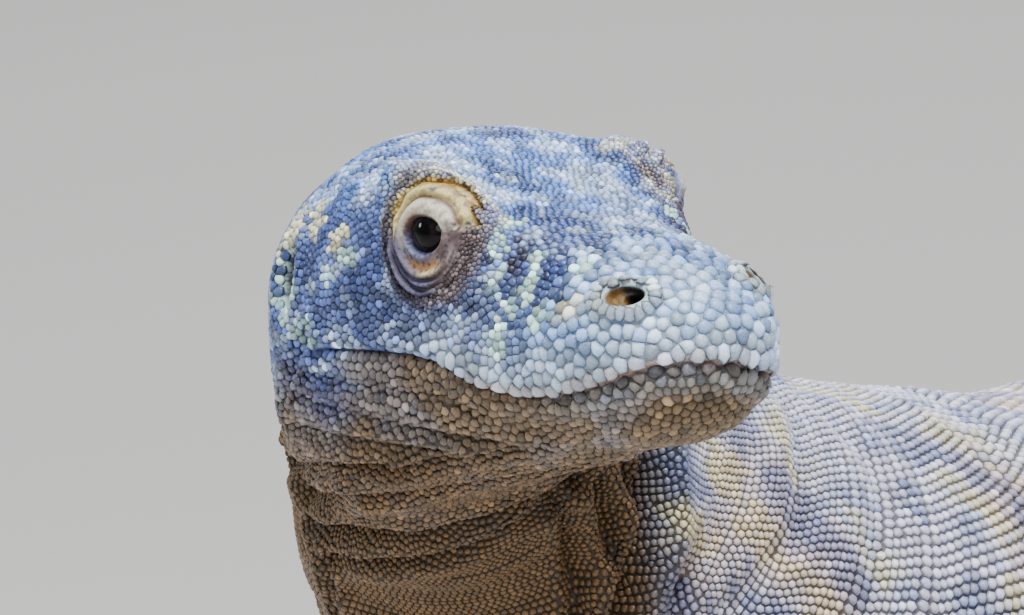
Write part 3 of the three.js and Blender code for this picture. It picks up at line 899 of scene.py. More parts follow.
@dataclass
class Hide:
    """The one skin under the scales, from the snout's end to the tail's end.

    Attributes:
        spine: the spine's line.
        legs: the line of each leg by name.
        cell: edge of the first remesh, in millimetres.
        swell: how far the solids grow so that they join.
        thin: share of the far body's triangles that stay.
        tree: what finds the nearest place on the finished hide.
    """

    spine: Line
    legs: dict[str, Line]
    cell: float = 3.7
    swell: float = 0.5
    thin: float = 0.24
    tree: BVHTree | None = None

    def flesh(self) -> list[str]:
        """Names of the CAD nodes that the hide stands for."""
        return sorted(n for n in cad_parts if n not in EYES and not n.startswith("claw_"))

    def gather(self) -> Object:
        """One mesh of all the flesh, joined by a remesh.

        Returns:
            The joined mesh object.
        """
        copies = []
        for name in self.flesh():
            obj = cad_copy(name, "hide")
            points, normals = read_points(obj.data)
            write_points(obj.data, points + normals * self.swell)
            copies.append(obj)
        hide = join(copies, "hide")
        remesh = hide.modifiers.new("join", "REMESH")
        remesh.mode = "VOXEL"
        remesh.voxel_size = self.cell * MM
        bpy.ops.object.modifier_apply(modifier="join")
        return hide

    def soften(self, hide: Object) -> None:
        """Ease the flats of the solids away, least on the toes and the tail's end.

        Args:
            hide: the hide.
        """
        points, _ = read_points(hide.data)
        s = self.spine.station(points)
        low = near_ground(points, s)
        amount = 0.55 * (1 - 0.8 * low) * (1 - 0.6 * step(1500, 2300, s))
        amount *= 1 - 0.6 * step(200, 120, s)
        points = relax(points, edge_pairs(hide.data), amount, 26)
        write_points(hide.data, points)

    def thin_out(self, hide: Object) -> None:
        """Keep the close mesh on head, neck and toes only.

        Args:
            hide: the hide.
        """
        points, _ = read_points(hide.data)
        s = self.spine.station(points)
        low = near_ground(points, s)
        weight = np.clip(step(340, 430, s) * (1 - low), 0, 1)
        weight *= 1 - 0.6 * step(1500, 2100, s)
        group = hide.vertex_groups.new(name="far")
        for level in np.linspace(0.1, 1.0, 10):
            chosen = np.nonzero(np.abs(weight - level) <= 0.05)[0]
            group.add(chosen.tolist(), float(level), "REPLACE")
        only(hide)
        thin = hide.modifiers.new("thin", "DECIMATE")
        thin.ratio = 1.0 - (1.0 - self.thin) * float(weight.mean())
        thin.vertex_group = "far"
        bpy.ops.object.modifier_apply(modifier="thin")
        hide.vertex_groups.clear()

    def refine(self, hide: Object, near: Array) -> None:
        """Cut in half the edges of the faces whose vertices are all near.

        Args:
            hide: the hide.
            near: which vertices are near.
        """
        mesh = hide.data
        with editing(hide, "DESELECT"):
            bpy.ops.mesh.select_mode(type="FACE")
        corners = read(mesh.loops, "vertex_index", np.int32)
        starts = read(mesh.polygons, "loop_start", np.int32)
        chosen = np.minimum.reduceat(near[corners].astype(np.int8), starts).astype(bool)
        mesh.polygons.foreach_set("select", chosen)
        with editing(hide, ""):
            bpy.ops.mesh.subdivide(number_cuts=1, smoothness=0.0)
            bpy.ops.mesh.quads_convert_to_tris(quad_method="BEAUTY", ngon_method="BEAUTY")

    def close_up(self, hide: Object) -> None:
        """Finer mesh on the head and throat, and finer again at eyes, mouth and nostrils.

        Args:
            hide: the hide.
        """
        points, _ = read_points(hide.data)
        self.refine(hide, self.spine.station(points) < 285)
        places = HEAD.inward(read_points(hide.data)[0])
        near = (np.abs(above_mouth(places)) < 3.5) & (places[:, 0] < MOUTH_END + 8)
        near |= (ear_range(places) < 1.9) | (NOSTRIL.reach(places) < 4.2)
        self.refine(hide, near | self.round_eyes(places, 16, -4))
        places = HEAD.inward(read_points(hide.data)[0])
        self.refine(hide, (NOSTRIL.reach(places) < 2.0) | self.round_eyes(places, 12.2, -2))
        points, _ = read_points(hide.data)
        amount = 0.5 * step(330, 280, self.spine.station(points))
        write_points(hide.data, relax(points, edge_pairs(hide.data), amount, 3))

    def round_eyes(self, places: Array, reach: float, depth: float) -> Array:
        """Which places of the head lie round an eye.

        Args:
            places: in the head's frame.
            reach: how far past the opening's rim they may be.
            depth: how far out of the eyeball's middle they have to be.

        Returns:
            One answer for each place.
        """
        near = np.zeros(len(places), bool)
        for orbit in ORBITS:
            _, _, z, past = orbit.look(places)
            near |= (past < reach) & (z > depth)
        return near

    def sculpt(self, hide: Object) -> None:
        """Press the folds, lips, lids, nostrils and ears into the hide.

        Args:
            hide: the hide.
        """
        points, normals = read_points(hide.data)
        points -= normals * self.inset(points)[:, None]
        near = np.nonzero(np.linalg.norm(points - HEAD.tip, axis=1) < 420)[0]
        place = HEAD.inward(points[near])
        lift = self.brow(place) + self.mouth(place) + self.pleats(points[near])
        for crease in HEAD_CREASES + THROAT_CREASES:
            away = crease.distance(place) / crease.width
            lift += crease.depth * (0.4 * bump(away, 2.1, 1.0) - bump(away, 0.0, 1.0))
        r = NOSTRIL.reach(place)
        lift += 1.3 * bump(r, 1.75, 0.6) - 0.9 * bump(r, 2.8, 0.6)
        r = ear_range(place)
        lift += 1.4 * bump(r, 1.5, 0.35) - 4.2 * step(1.1, 0.6, r)
        points[near] += normals[near] * lift[:, None]
        amount = 0.35 * step(480, 400, np.linalg.norm(points - HEAD.tip, axis=1))
        points = relax(points, edge_pairs(hide.data), amount, 1)
        place = HEAD.inward(points[near])
        place += NOSTRIL.press(place)
        for orbit in ORBITS:
            place = self.open_eye(place, orbit)
        points[near] = HEAD.outward(place)
        points += self.body_folds(points, normals)
        write_points(hide.data, points)

    def inset(self, points: Array) -> Array:
        """How deep the hide lies under the coat's tops, in millimetres.

        Args:
            points: in the row frame.

        Returns:
            One depth for each place.
        """
        s = self.spine.station(points)
        depth = 0.5 + np.interp(s, *INSET)
        return depth * (1 - 0.4 * near_ground(points, s, 70, 20))

    def brow(self, place: Array) -> Array:
        """Brow ridges over both eyes, and the hollows before and behind them.

        Args:
            place: in the head's frame.

        Returns:
            Heights to add.
        """
        b, l, u = place[:, 0], np.abs(place[:, 1]), place[:, 2]
        lift = 3.0 * bump(b, 90, 14) * bump(l, 33, 8) * bump(u, 50, 6)
        left = 4.0 * bump(b, 83, 9) * bump(l, 37, 7) * bump(u, 48, 7)
        left += 6.5 * bump(b, 84, 9) * bump(l, 42, 6) * bump(u, 40, 7)
        left -= 2.2 * bump(b, 80, 12) * bump(l, 23, 4.5) * bump(u, 50, 8)
        lift += step(0, 12, place[:, 1]) * left
        lift += 1.4 * bump(b, 76, 8) * bump(l, 27, 6) * bump(u, 45, 6)
        lift += 3.4 * bump(b, 103, 6) * bump(l, 38, 6) * bump(u, 50, 5)
        lift -= 1.6 * bump(b, 60, 13) * bump(l, 27, 8) * bump(u, 26, 8)
        lift += 1.0 * bump(b, 118, 18) * bump(u, 24, 12)
        lift -= 1.0 * bump(b, 84, 22) * bump(l, 0, 13) * step(30, 45, u)
        return lift

    def mouth(self, place: Array) -> Array:
        """The closed mouth's groove, the lip over it and the bare lip under it.

        Args:
            place: in the head's frame.

        Returns:
            Heights to add.
        """
        b, rise = place[:, 0], above_mouth(place)
        front = step(MOUTH_END + 2, MOUTH_END - 8, b)
        rear = step(70, 96, b)
        groove = -(1.8 + 1.3 * rear + 1.3 * bump(b, 84, 12)) * bump(rise, 0.0, 0.95 + 0.45 * rear)
        lip = (0.7 + 1.2 * rear) * bump(rise, 3.2 + 0.8 * rear, 2.0 + 1.0 * rear)
        under = 0.6 * step(88, 60, b) * (bump(rise, -3.6, 2.0) - bump(rise, -8.0, 1.4))
        return front * (groove + lip + under)

    def pleats(self, points: Array) -> Array:
        """Soft folds across the throat and neck.

        Args:
            points: in the row frame.

        Returns:
            Heights to add.
        """
        s, angle = self.spine.round_about(points)
        under = 0.5 - 0.5 * np.cos(angle)
        warp = 5.0 * ripple(points, 46, 11) + 2.0 * ripple(points, 20, 12)
        wave = np.cos((s + warp) * 2 * math.pi / 13.5)
        size = 0.35 * step(128, 165, s) * step(330, 230, s) * (0.35 + 0.65 * under)
        slow = np.cos((s + 2.2 * warp) * 2 * math.pi / 41)
        lift = size * wave + 1.6 * slow * step(170, 230, s) * step(400, 330, s)
        return lift + 0.5 * ripple(points, 24, 13) * step(60, 170, s)

    def open_eye(self, place: Array, orbit: Orbit) -> Array:
        """Open the lids over one eyeball and fold the skin round it.

        Args:
            place: in the head's frame.
            orbit: the eye.

        Returns:
            The moved places.
        """
        _, _, out = orbit.axes()
        x, y, z, past = orbit.look(place)
        near = (z > -3) & (past < 22)
        flat = np.hypot(x, y - orbit.drop)
        ball = np.sqrt(np.maximum(orbit.ball**2 - flat**2, 0.5))
        lid = np.sqrt(np.maximum((orbit.ball + orbit.lid) ** 2 - flat**2, 0.0))
        inside = ball - 1.6 * step(0.1, -0.9, past)
        raised = 0.5 * (lid - z + np.sqrt((lid - z) ** 2 + 1.0))
        level = z + raised * step(orbit.ball + 3.0, orbit.ball, flat)
        outside = level + orbit.folds(x, y, past)
        share = step(0.0, 0.9, past)
        target = (inside + 0.1) * (1 - share) + outside * share
        move = np.where(near, target - z, 0.0)
        return place + move[:, None] * out

    def body_folds(self, points: Array, normals: Array) -> Array:
        """Loose skin of the neck's sides, the shoulders, the flanks and the legs' roots.

        Args:
            points: in the row frame.
            normals: the hide's normals there.

        Returns:
            One move for each.
        """
        s, angle = self.spine.round_about(points)
        loose = step(330, 430, s) * step(1250, 1000, s)
        _, by_spine = self.spine.nearest(points)
        side = np.abs(np.sin(angle))
        warp = 16 * ripple(points, 120, 21) + 5 * ripple(points, 40, 22)
        lift = 1.5 * loose * side * np.cos((s + warp) * 2 * math.pi / 46)
        lift += 1.2 * loose * ripple(points, 34, 23)
        for leg in self.legs.values():
            k, r = leg.nearest(points)
            along = leg.s[k] / leg.s[-1]
            edge = bump(r - 1.0, 0.0, 0.25) * bump(by_spine - 1.0, 0.06, 0.16)
            lift -= 3.0 * edge * step(0.6, 0.2, along)
            wave = np.cos(leg.s[k] * 0.42 + 2 * ripple(points, 40, 25))
            lift += 0.8 * step(1.5, 1.1, r) * wave * step(0.2, 0.5, along)
        return normals * lift[:, None]

    def settle(self, hide: Object) -> None:
        """Cut the hide into triangles, and keep a tree of it for the scales.

        Args:
            hide: the hide.
        """
        with editing(hide):
            bpy.ops.mesh.quads_convert_to_tris(quad_method="BEAUTY", ngon_method="BEAUTY")
            bpy.ops.mesh.normals_make_consistent(inside=False)
        hide.data.shade_smooth()
        self.points, self.normals = read_points(hide.data)
        self.points[:, 2] = np.maximum(self.points[:, 2], 0.1)
        write_points(hide.data, self.points)
        self.faces = read(hide.data.polygons, "vertices", np.int32, 3)
        self.tree = BVHTree.FromPolygons(self.points.tolist(), self.faces.tolist())

    def land(self, points: Array) -> tuple[Array, Array]:
        """The hide's nearest places to some points, and its soft normals there.

        Args:
            points: in the row frame.

        Returns:
            Places on the hide, and normals of length one.
        """
        spots = np.empty((len(points), 3))
        which = np.empty(len(points), np.int32)
        for i, p in enumerate(points.tolist()):
            spots[i], _, which[i], _ = self.tree.find_nearest(p)
        return spots, unit(self.normals[self.faces[which]].sum(1))

    def build(self) -> Object:
        """Make the hide ready for its markings and its scales.

        Returns:
            The finished hide.
        """
        hide = self.gather()
        LOG.info("hide remeshed: %d vertices", len(hide.data.vertices))
        self.soften(hide)
        self.thin_out(hide)
        self.close_up(hide)
        self.sculpt(hide)
        self.settle(hide)
        LOG.info("hide: %d triangles", len(hide.data.polygons))
        return hide


# ---- markings


@dataclass(frozen=True)
class Patch:
    """A pale or dark place on the head: its middle, its size and its colour."""

    back: float
    out: float
    up: float
    size: Spot
    rgb: Rgb
    strength: float = 0.8

    def share(self, place: Array) -> Array:
        """How far each place of the head lies in the patch.

        Args:
            place: in the head's frame.

        Returns:
            Shares from 0 to the patch's strength.
        """
        q = both_sides(place) - np.array([self.back, self.out, self.up])
        soft = np.exp(-0.6 * (((q / np.array(self.size)) ** 2).sum(1)))
        return self.strength * step(0.42, 0.62, soft * (1 + 0.6 * ripple(place, 2.6, 35)))


CREAM = (246, 242, 200)
MINT = (206, 246, 238)
PATCHES = (
    Patch(67, 34, 26, (14, 9, 13), (66, 80, 128), 0.9),
    Patch(57, 27, 29, (10, 9, 9), (62, 72, 118), 0.85),
    Patch(63, 30, 31, (6, 7, 6), (52, 46, 62), 0.85),
    Patch(56, 19, 34, (7, 6, 4), (84, 100, 156), 0.6),
    Patch(47, 28, 24, (8, 8, 9), (50, 66, 122), 0.8),
    Patch(78, 38, 25, (5, 8, 7), (60, 52, 70), 0.85),
    Patch(100, 44, 14, (15, 10, 6), (62, 74, 118), 0.8),
    Patch(112, 43, 38, (10, 9, 9), (78, 98, 156), 0.7),
    Patch(124, 46, 14, (14, 10, 7), (84, 100, 152), 0.6),
    Patch(123.5, 46, 32.5, (5, 9, 3.5), CREAM, 0.95),
    Patch(117, 46, 29, (4, 9, 3), MINT, 0.85),
    Patch(142, 41, 37, (6, 9, 5), CREAM, 0.9),
    Patch(156, 38, 33, (6, 9, 7), CREAM, 0.9),
    Patch(151, 44, 19, (6, 9, 9), MINT, 0.85),
    Patch(138, 48, 7, (7, 9, 4), MINT, 0.7),
    Patch(125, 47, 23, (5, 9, 3), MINT, 0.6),
    Patch(69, 24, 38, (2.0, 4, 3.0), MINT, 0.9),
    Patch(68, 29, 34, (1.8, 5, 4.5), MINT, 0.9),
    Patch(65.5, 33, 27, (2.0, 7, 5.5), MINT, 0.95),
    Patch(60, 36, 15, (3, 8, 6), MINT, 0.9),
    Patch(57, 26.5, 28, (1.8, 6, 4.5), MINT, 0.95),
    Patch(54.5, 30, 20.5, (1.9, 6, 4.5), MINT, 0.95),
    Patch(46.5, 33, 14.5, (4, 8, 3), MINT, 0.95),
    Patch(41.5, 24, 27, (2.6, 6, 3.5), MINT, 0.9),
    Patch(36.5, 30, 17, (4, 8, 3.5), CREAM, 0.7),
    Patch(62, 37, 8, (4, 8, 3.5), MINT, 0.85),
    Patch(80, 26, 52, (8, 5, 5), (214, 220, 216), 0.6),
    Patch(97, 31, 51, (6, 6, 5), (206, 206, 196), 0.7),
)


@dataclass(frozen=True)
class Markings:
    """Colours of the animal by place, shared by the hide and its scales."""

    spine: Line
    crown: Rgb = (106, 150, 224)
    side: Rgb = (98, 120, 184)
    snout: Rgb = (156, 196, 248)
    lip: Rgb = (206, 224, 240)
    jaw: Rgb = (130, 109, 84)
    chin: Rgb = (124, 101, 70)
    throat: Rgb = (114, 85, 50)
    nape: Rgb = (132, 138, 156)
    flank: Rgb = (222, 224, 244)
    belly: Rgb = (160, 152, 142)
    cream: Rgb = (242, 230, 178)
    peach: Rgb = (218, 186, 172)
    leg: Rgb = (138, 138, 146)
    foot: Rgb = (112, 106, 102)
    tail: Rgb = (138, 138, 148)

    def head(self, place: Array, points: Array) -> Array:
        """Colours of the head, jaw included.

        Args:
            place: in the head's frame.
            points: the same places in the row frame.

        Returns:
            Linear colours.
        """
        b, u, rise = place[:, 0], place[:, 2], above_mouth(place)
        cloud, grit = ripple(points, 13, 31), ripple(points, 5.5, 34)
        calm = 1 - 0.75 * step(62, 40, b) * step(34, 20, u)
        calm *= 1 - 0.5 * bump(rise, 6, 9) * step(70, 50, b)
        base = glaze(
            plain(self.side, len(b)),
            (self.crown, step(30, 46, u)),
            (self.snout, step(66, 40, b)),
            (self.lip, 0.85 * bump(rise, 5, 8) * step(120, 70, b)),
            ((214, 234, 255), 0.6 * step(0.15, 0.7, cloud)),
            ((52, 68, 120), 0.75 * calm * step(-0.1, -0.7, cloud)),
            ((206, 228, 250), 0.45 * step(0.3, 0.8, grit)),
            ((60, 76, 132), 0.5 * calm * step(-0.2, -0.8, grit)),
        )
        jaw = glaze(
            plain(self.jaw, len(b)),
            (self.chin, step(50, 15, b)),
            ((138, 138, 150), 0.45 * step(0.1, 0.7, ripple(points, 18, 32))),
            ((150, 152, 150), 0.7 * step(64, 22, b) * step(-9, -3, rise)),
        )
        below = step(0.3, -0.5, rise) * step(132, 112, b)
        below += step(112, 132, b) * step(2, -26, u + 5 * ripple(points, 22, 33))
        return glaze(
            mix(base, jaw, below),
            (self.throat, 0.8 * step(-14, -34, u) * step(20, 60, b)),
            *((patch.rgb, patch.share(place)) for patch in PATCHES),
            # Painted shade along the jaw's creases.
            *(((44, 34, 30), 0.65 * c.shade(place)) for c in JAW_CREASES),
        )

    def face(self, base: Array, place: Array, points: Array) -> Array:
        """Lids, lips, nostrils and ears over the head's colours.

        Args:
            base: the head's colours.
            place: in the head's frame.
            points: the same places in the row frame.

        Returns:
            Linear colours.
        """
        rise, b = above_mouth(place), place[:, 0]
        r = NOSTRIL.reach(place)
        along, across, _ = NOSTRIL.local(place)
        # Ochre hollow of the nostril, near black towards its front end as painted shade in the hole.
        hollow = glaze(plain((116, 86, 38), len(b)), ((8, 6, 6), step(-1.8, 0.4, along + 0.3 * across)))
        base = glaze(
            base,
            ((186, 148, 118), 0.85 * bump(rise, 1.2, 1.1) * step(84, 64, b)),
            # Painted shade: a dark line along the slit between the closed lips.
            ((58, 34, 22), 0.9 * bump(rise, -0.2, 0.8) * step(138, 128, b)),
            ((204, 214, 204), 0.85 * bump(r, 1.7, 0.7)),
            ((112, 120, 140), 0.6 * step(0.2, 0.6, ripple(points, 2.2, 48)) * bump(r, 1.6, 0.5)),
        )
        base = mix(base, hollow, step(1.25, 1.05, r))
        # Painted shade: near black over the ear's sunken opening.
        base = glaze(base, ((26, 20, 18), step(1.0, 0.7, ear_range(place))))
        for orbit in ORBITS:
            base = self.lids(base, orbit, place, points)
        # Painted shade along the creases round the eyes.
        return glaze(base, *(((44, 40, 56), 0.7 * bump(c.distance(place), 0, 0.8)) for c in EYE_CREASES))

    def lids(self, base: Array, orbit: Orbit, place: Array, points: Array) -> Array:
        """The skin round one eye: the lid and brow over it, and the rolls under it.

        Args:
            base: the head's colours.
            orbit: the eye.
            place: in the head's frame.
            points: the same places in the row frame.

        Returns:
            Linear colours.
        """
        x, y, z, past = orbit.look(place)
        over, band, count = orbit.over(x, y), orbit.band(x, past), len(place)
        soft = 3.0 * step(-1, -7, x)
        upper = step(-0.9 - soft, 0.9 + soft, over + 1.1 * ripple(points, 1.6, 47))
        fleck = step(0.15, 0.45, ripple(points, 1.7, 42))
        spot = step(0.3, 0.5, ripple(points, 3.6, 43))
        dot = step(0.5, 0.75, ripple(points, 1.1, 44))
        lid = glaze(
            plain((222, 216, 196), count),
            ((120, 108, 112), 0.55 * fleck * step(-4, 3, x)),
            ((124, 70, 26), step(2.6, 0.6, past) * step(1.5, -3.5, x)),
            ((76, 58, 56), 0.9 * step(1.3, 0.4, past)),
            ((228, 214, 150), step(5.2, 6.2, band)),
            ((150, 122, 74), 0.5 * fleck * step(5.2, 6.2, band)),
            ((70, 72, 104), 0.9 * spot * bump(band, 7.6, 1.9) * step(-4, 0, x)),
            ((96, 62, 30), 0.95 * bump(band, 5.4, 0.5)),
            ((178, 136, 52), 0.85 * bump(band, 9.4, 0.9)),
            ((72, 44, 34), 0.9 * bump(band, 9.9, 0.7) * step(3, 7, x)),
        )
        brow = glaze(
            plain((236, 234, 224), count),
            ((150, 150, 184), step(0.0, 0.35, ripple(points, 3.4, 45))),
            ((92, 84, 98), 0.6 * step(-1, -8, x)),
        )
        # Painted shade in the creases of the rolls under the eye.
        lid_crease_shade = bump(past, 7.4, 0.5) + bump(past, 9.7, 0.5) + bump(past, 12.0, 0.7)
        under = glaze(
            plain((88, 82, 112), count),
            ((134, 118, 116), 0.85 * step(0, 7, x)),
            ((64, 42, 44), 0.7 * step(-0.2, 0.5, ripple(points, 5.0, 46)) * step(-2, 5, x)),
            ((120, 132, 168), 0.9 * bump(past, 1.0, 0.8) * step(4, 0, x)),
            ((190, 138, 74), 0.9 * bump(past, 3.9, 1.1) * step(-7, -3, x) * step(7, 4, x)),
            ((228, 212, 156), 0.9 * bump(past, 5.6, 0.9) * bump(x, 2.6, 3.6)),
            ((214, 212, 204), 0.8 * bump(past, 3.0, 1.3) * bump(x, -7.5, 2.2)),
            # Painted highlight on the ridges of the rolls under the eye.
            ((122, 126, 172), 0.6 * (bump(past, 8.6, 0.6) + bump(past, 10.8, 0.6)) * step(7, 2, x)),
            # Painted shade in the creases between those rolls.
            ((30, 26, 40), 0.85 * lid_crease_shade * step(9, 3, x)),
            ((36, 28, 40), 0.7 * dot),
        )
        skin = mix(under, mix(lid, brow, step(10.2, 11.2, band)), upper)
        # Painted shade along the outermost crease behind the eye.
        skin = glaze(skin, ((50, 44, 58), 0.8 * bump(past, 12.8, 1.4) * step(0, -5, x)))
        near = step(-3.5, -1, z) * step(20.5, 17.5, past)
        reach = near * np.where(over > -0.1, step(18.5, 15.0, band), step(17.5, 13.0, past))
        reach *= (1 - 0.6 * (1 - upper) * step(18, 23, x)) * (1.0 if orbit.side < 0 else 0.6)
        return mix(base, skin, reach)

    def body(self, points: Array, s: Array, angle: Array, leg: Array) -> Array:
        """Colours from the neck to the tail's end, and of the legs.

        Args:
            points: in the row frame.
            s: distance along the spine.
            angle: angle of each round the spine.
            leg: how much each belongs to a leg.

        Returns:
            Linear colours.
        """
        under = 0.5 - 0.5 * np.cos(angle)
        place = HEAD.inward(points)
        beyond = step(75, 86, place[:, 1])
        side = np.maximum(step(250, 380, s + 90 * (0.5 - under)), 0.8 * beyond * step(150, 200, s))
        base = glaze(
            plain(self.nape, len(s)),
            (self.throat, step(0.3, 0.62, under) * step(380, 300, s) * (1 - beyond)),
            (self.flank, side),
            (self.belly, step(0.7, 0.9, under) * step(330, 420, s)),
            (self.tail, step(1100, 1500, s)),
            ((112, 108, 108), step(1700, 2350, s)),
        )
        near = s < 330
        # Painted shade in the throat's creases.
        dark = (((40, 30, 24), 0.6 * c.shade(place[near])) for c in THROAT_CREASES)
        base[near] = glaze(base[near], *dark)
        spots = 0.75 * ripple(points, 17, 51) + 0.5 * ripple(points, 6.5, 54)
        haze = ripple(points, 58, 52)
        # Painted shade in the deep fold between the throat and the shoulder, along the flank's edge.
        throat_fold_shade = bump(place[:, 1], 84, 8) * step(150, 190, s) * step(400, 300, s) * step(0.1, 0.4, under)
        loose = np.maximum(step(240, 340, s), beyond * step(150, 200, s)) * (1 - 0.6 * step(1200, 1700, s))
        loose *= 1 - step(0.3, 0.5, under) * step(380, 300, s) * (1 - beyond)
        band = step(0.3, 0.8, np.sin(s / 34.0 + 1.5 * ripple(points, 90, 53)))
        return glaze(
            base,
            # Painted shade of that fold.
            ((62, 68, 84), 0.75 * throat_fold_shade),
            (self.cream, 0.85 * loose * step(0.05, 0.75, spots) * step(-0.6, 0.3, haze)),
            (self.peach, 0.5 * loose * step(0.1, 0.7, haze)),
            ((104, 118, 168), 0.6 * step(-0.1, -0.7, spots) * loose),
            ((96, 98, 112), 0.3 * band * step(1100, 1350, s)),
            (self.leg, 0.75 * leg),
            (self.foot, leg * step(90, 40, points[:, 2])),
        )

    def groove_shade(self, points: Array) -> Array:
        """Painted shade on the hide between the scales: dark grooves, but paler ones on the snout.

        Args:
            points: in the row frame.

        Returns:
            Shares of the full colour, as one column.
        """
        place = HEAD.inward(points)
        share = step(100, 70, place[:, 0]) * step(-14, -6, above_mouth(place))
        return (0.2 + 0.28 * share)[:, None]

    def colours(self, points: Array, leg: Array) -> Array:
        """Colour of the animal at each point.

        Args:
            points: in the row frame.
            leg: how much each belongs to a leg.

        Returns:
            Linear colours.
        """
        s, angle = self.spine.round_about(points)
        base = self.body(points, s, angle, leg)
        near = s < 215
        place = HEAD.inward(points[near])
        head = self.face(self.head(place, points[near]), place, points[near])
        share = step(200, 150, s[near] + 5 * ripple(points[near], 18, 61))
        base[near] = mix(base[near], head, share)
        return base


def bare(points: Array) -> Array:
    """Where the hide carries no scales: lids, lower lip, nostrils, ears and the mouth's groove.

    Args:
        points: in the row frame.

    Returns:
        Which places are bare.
    """
    place = HEAD.inward(points)
    rise, r = above_mouth(place), NOSTRIL.reach(place)
    near = (place[:, 0] < 170) & (place[:, 0] > -25) & (place[:, 2] > -60)
    out = (r < 1.75) | (ear_range(place) < 1.15)
    out |= (place[:, 0] < MOUTH_END + 2) & (np.abs(rise - 0.7 * step(96, 70, place[:, 0])) < 1.4)
    for orbit in ORBITS:
        x, y, z, past = orbit.look(place)
        top = 9.8 if orbit.side < 0 else 6.5
        limit = np.where(
            orbit.over(x, y) > -0.1, top + past - orbit.band(x, past), 12.2 - 4.0 * step(4, 10, x)
        )
        out |= (z > -3) & (past < limit)
    return out & near


# ---- scales


@dataclass
class Seeds:
    """Where each scale grows.

    Attributes:
        points: roots on the hide, in millimetres.
        loose: which roots may still move.
    """

    points: Array
    loose: Array


SPINE_SIZES = (
    (150, 190, 250, 330, 430, 560, 760, 1160, 1600, 2000, 2430),
    (2.05, 1.95, 2.3, 3.2, 4.5, 5.7, 6.6, 6.9, 6.9, 5.6, 3.6),
)
LEG_SIZES = ((0, 150, 300), (6.0, 5.8, 5.2))
ZONE_ENDS = (165, 400, 1160)
MOST_TRIANGLES = 190000
Sizes = tuple[tuple[float, ...], tuple[float, ...]]


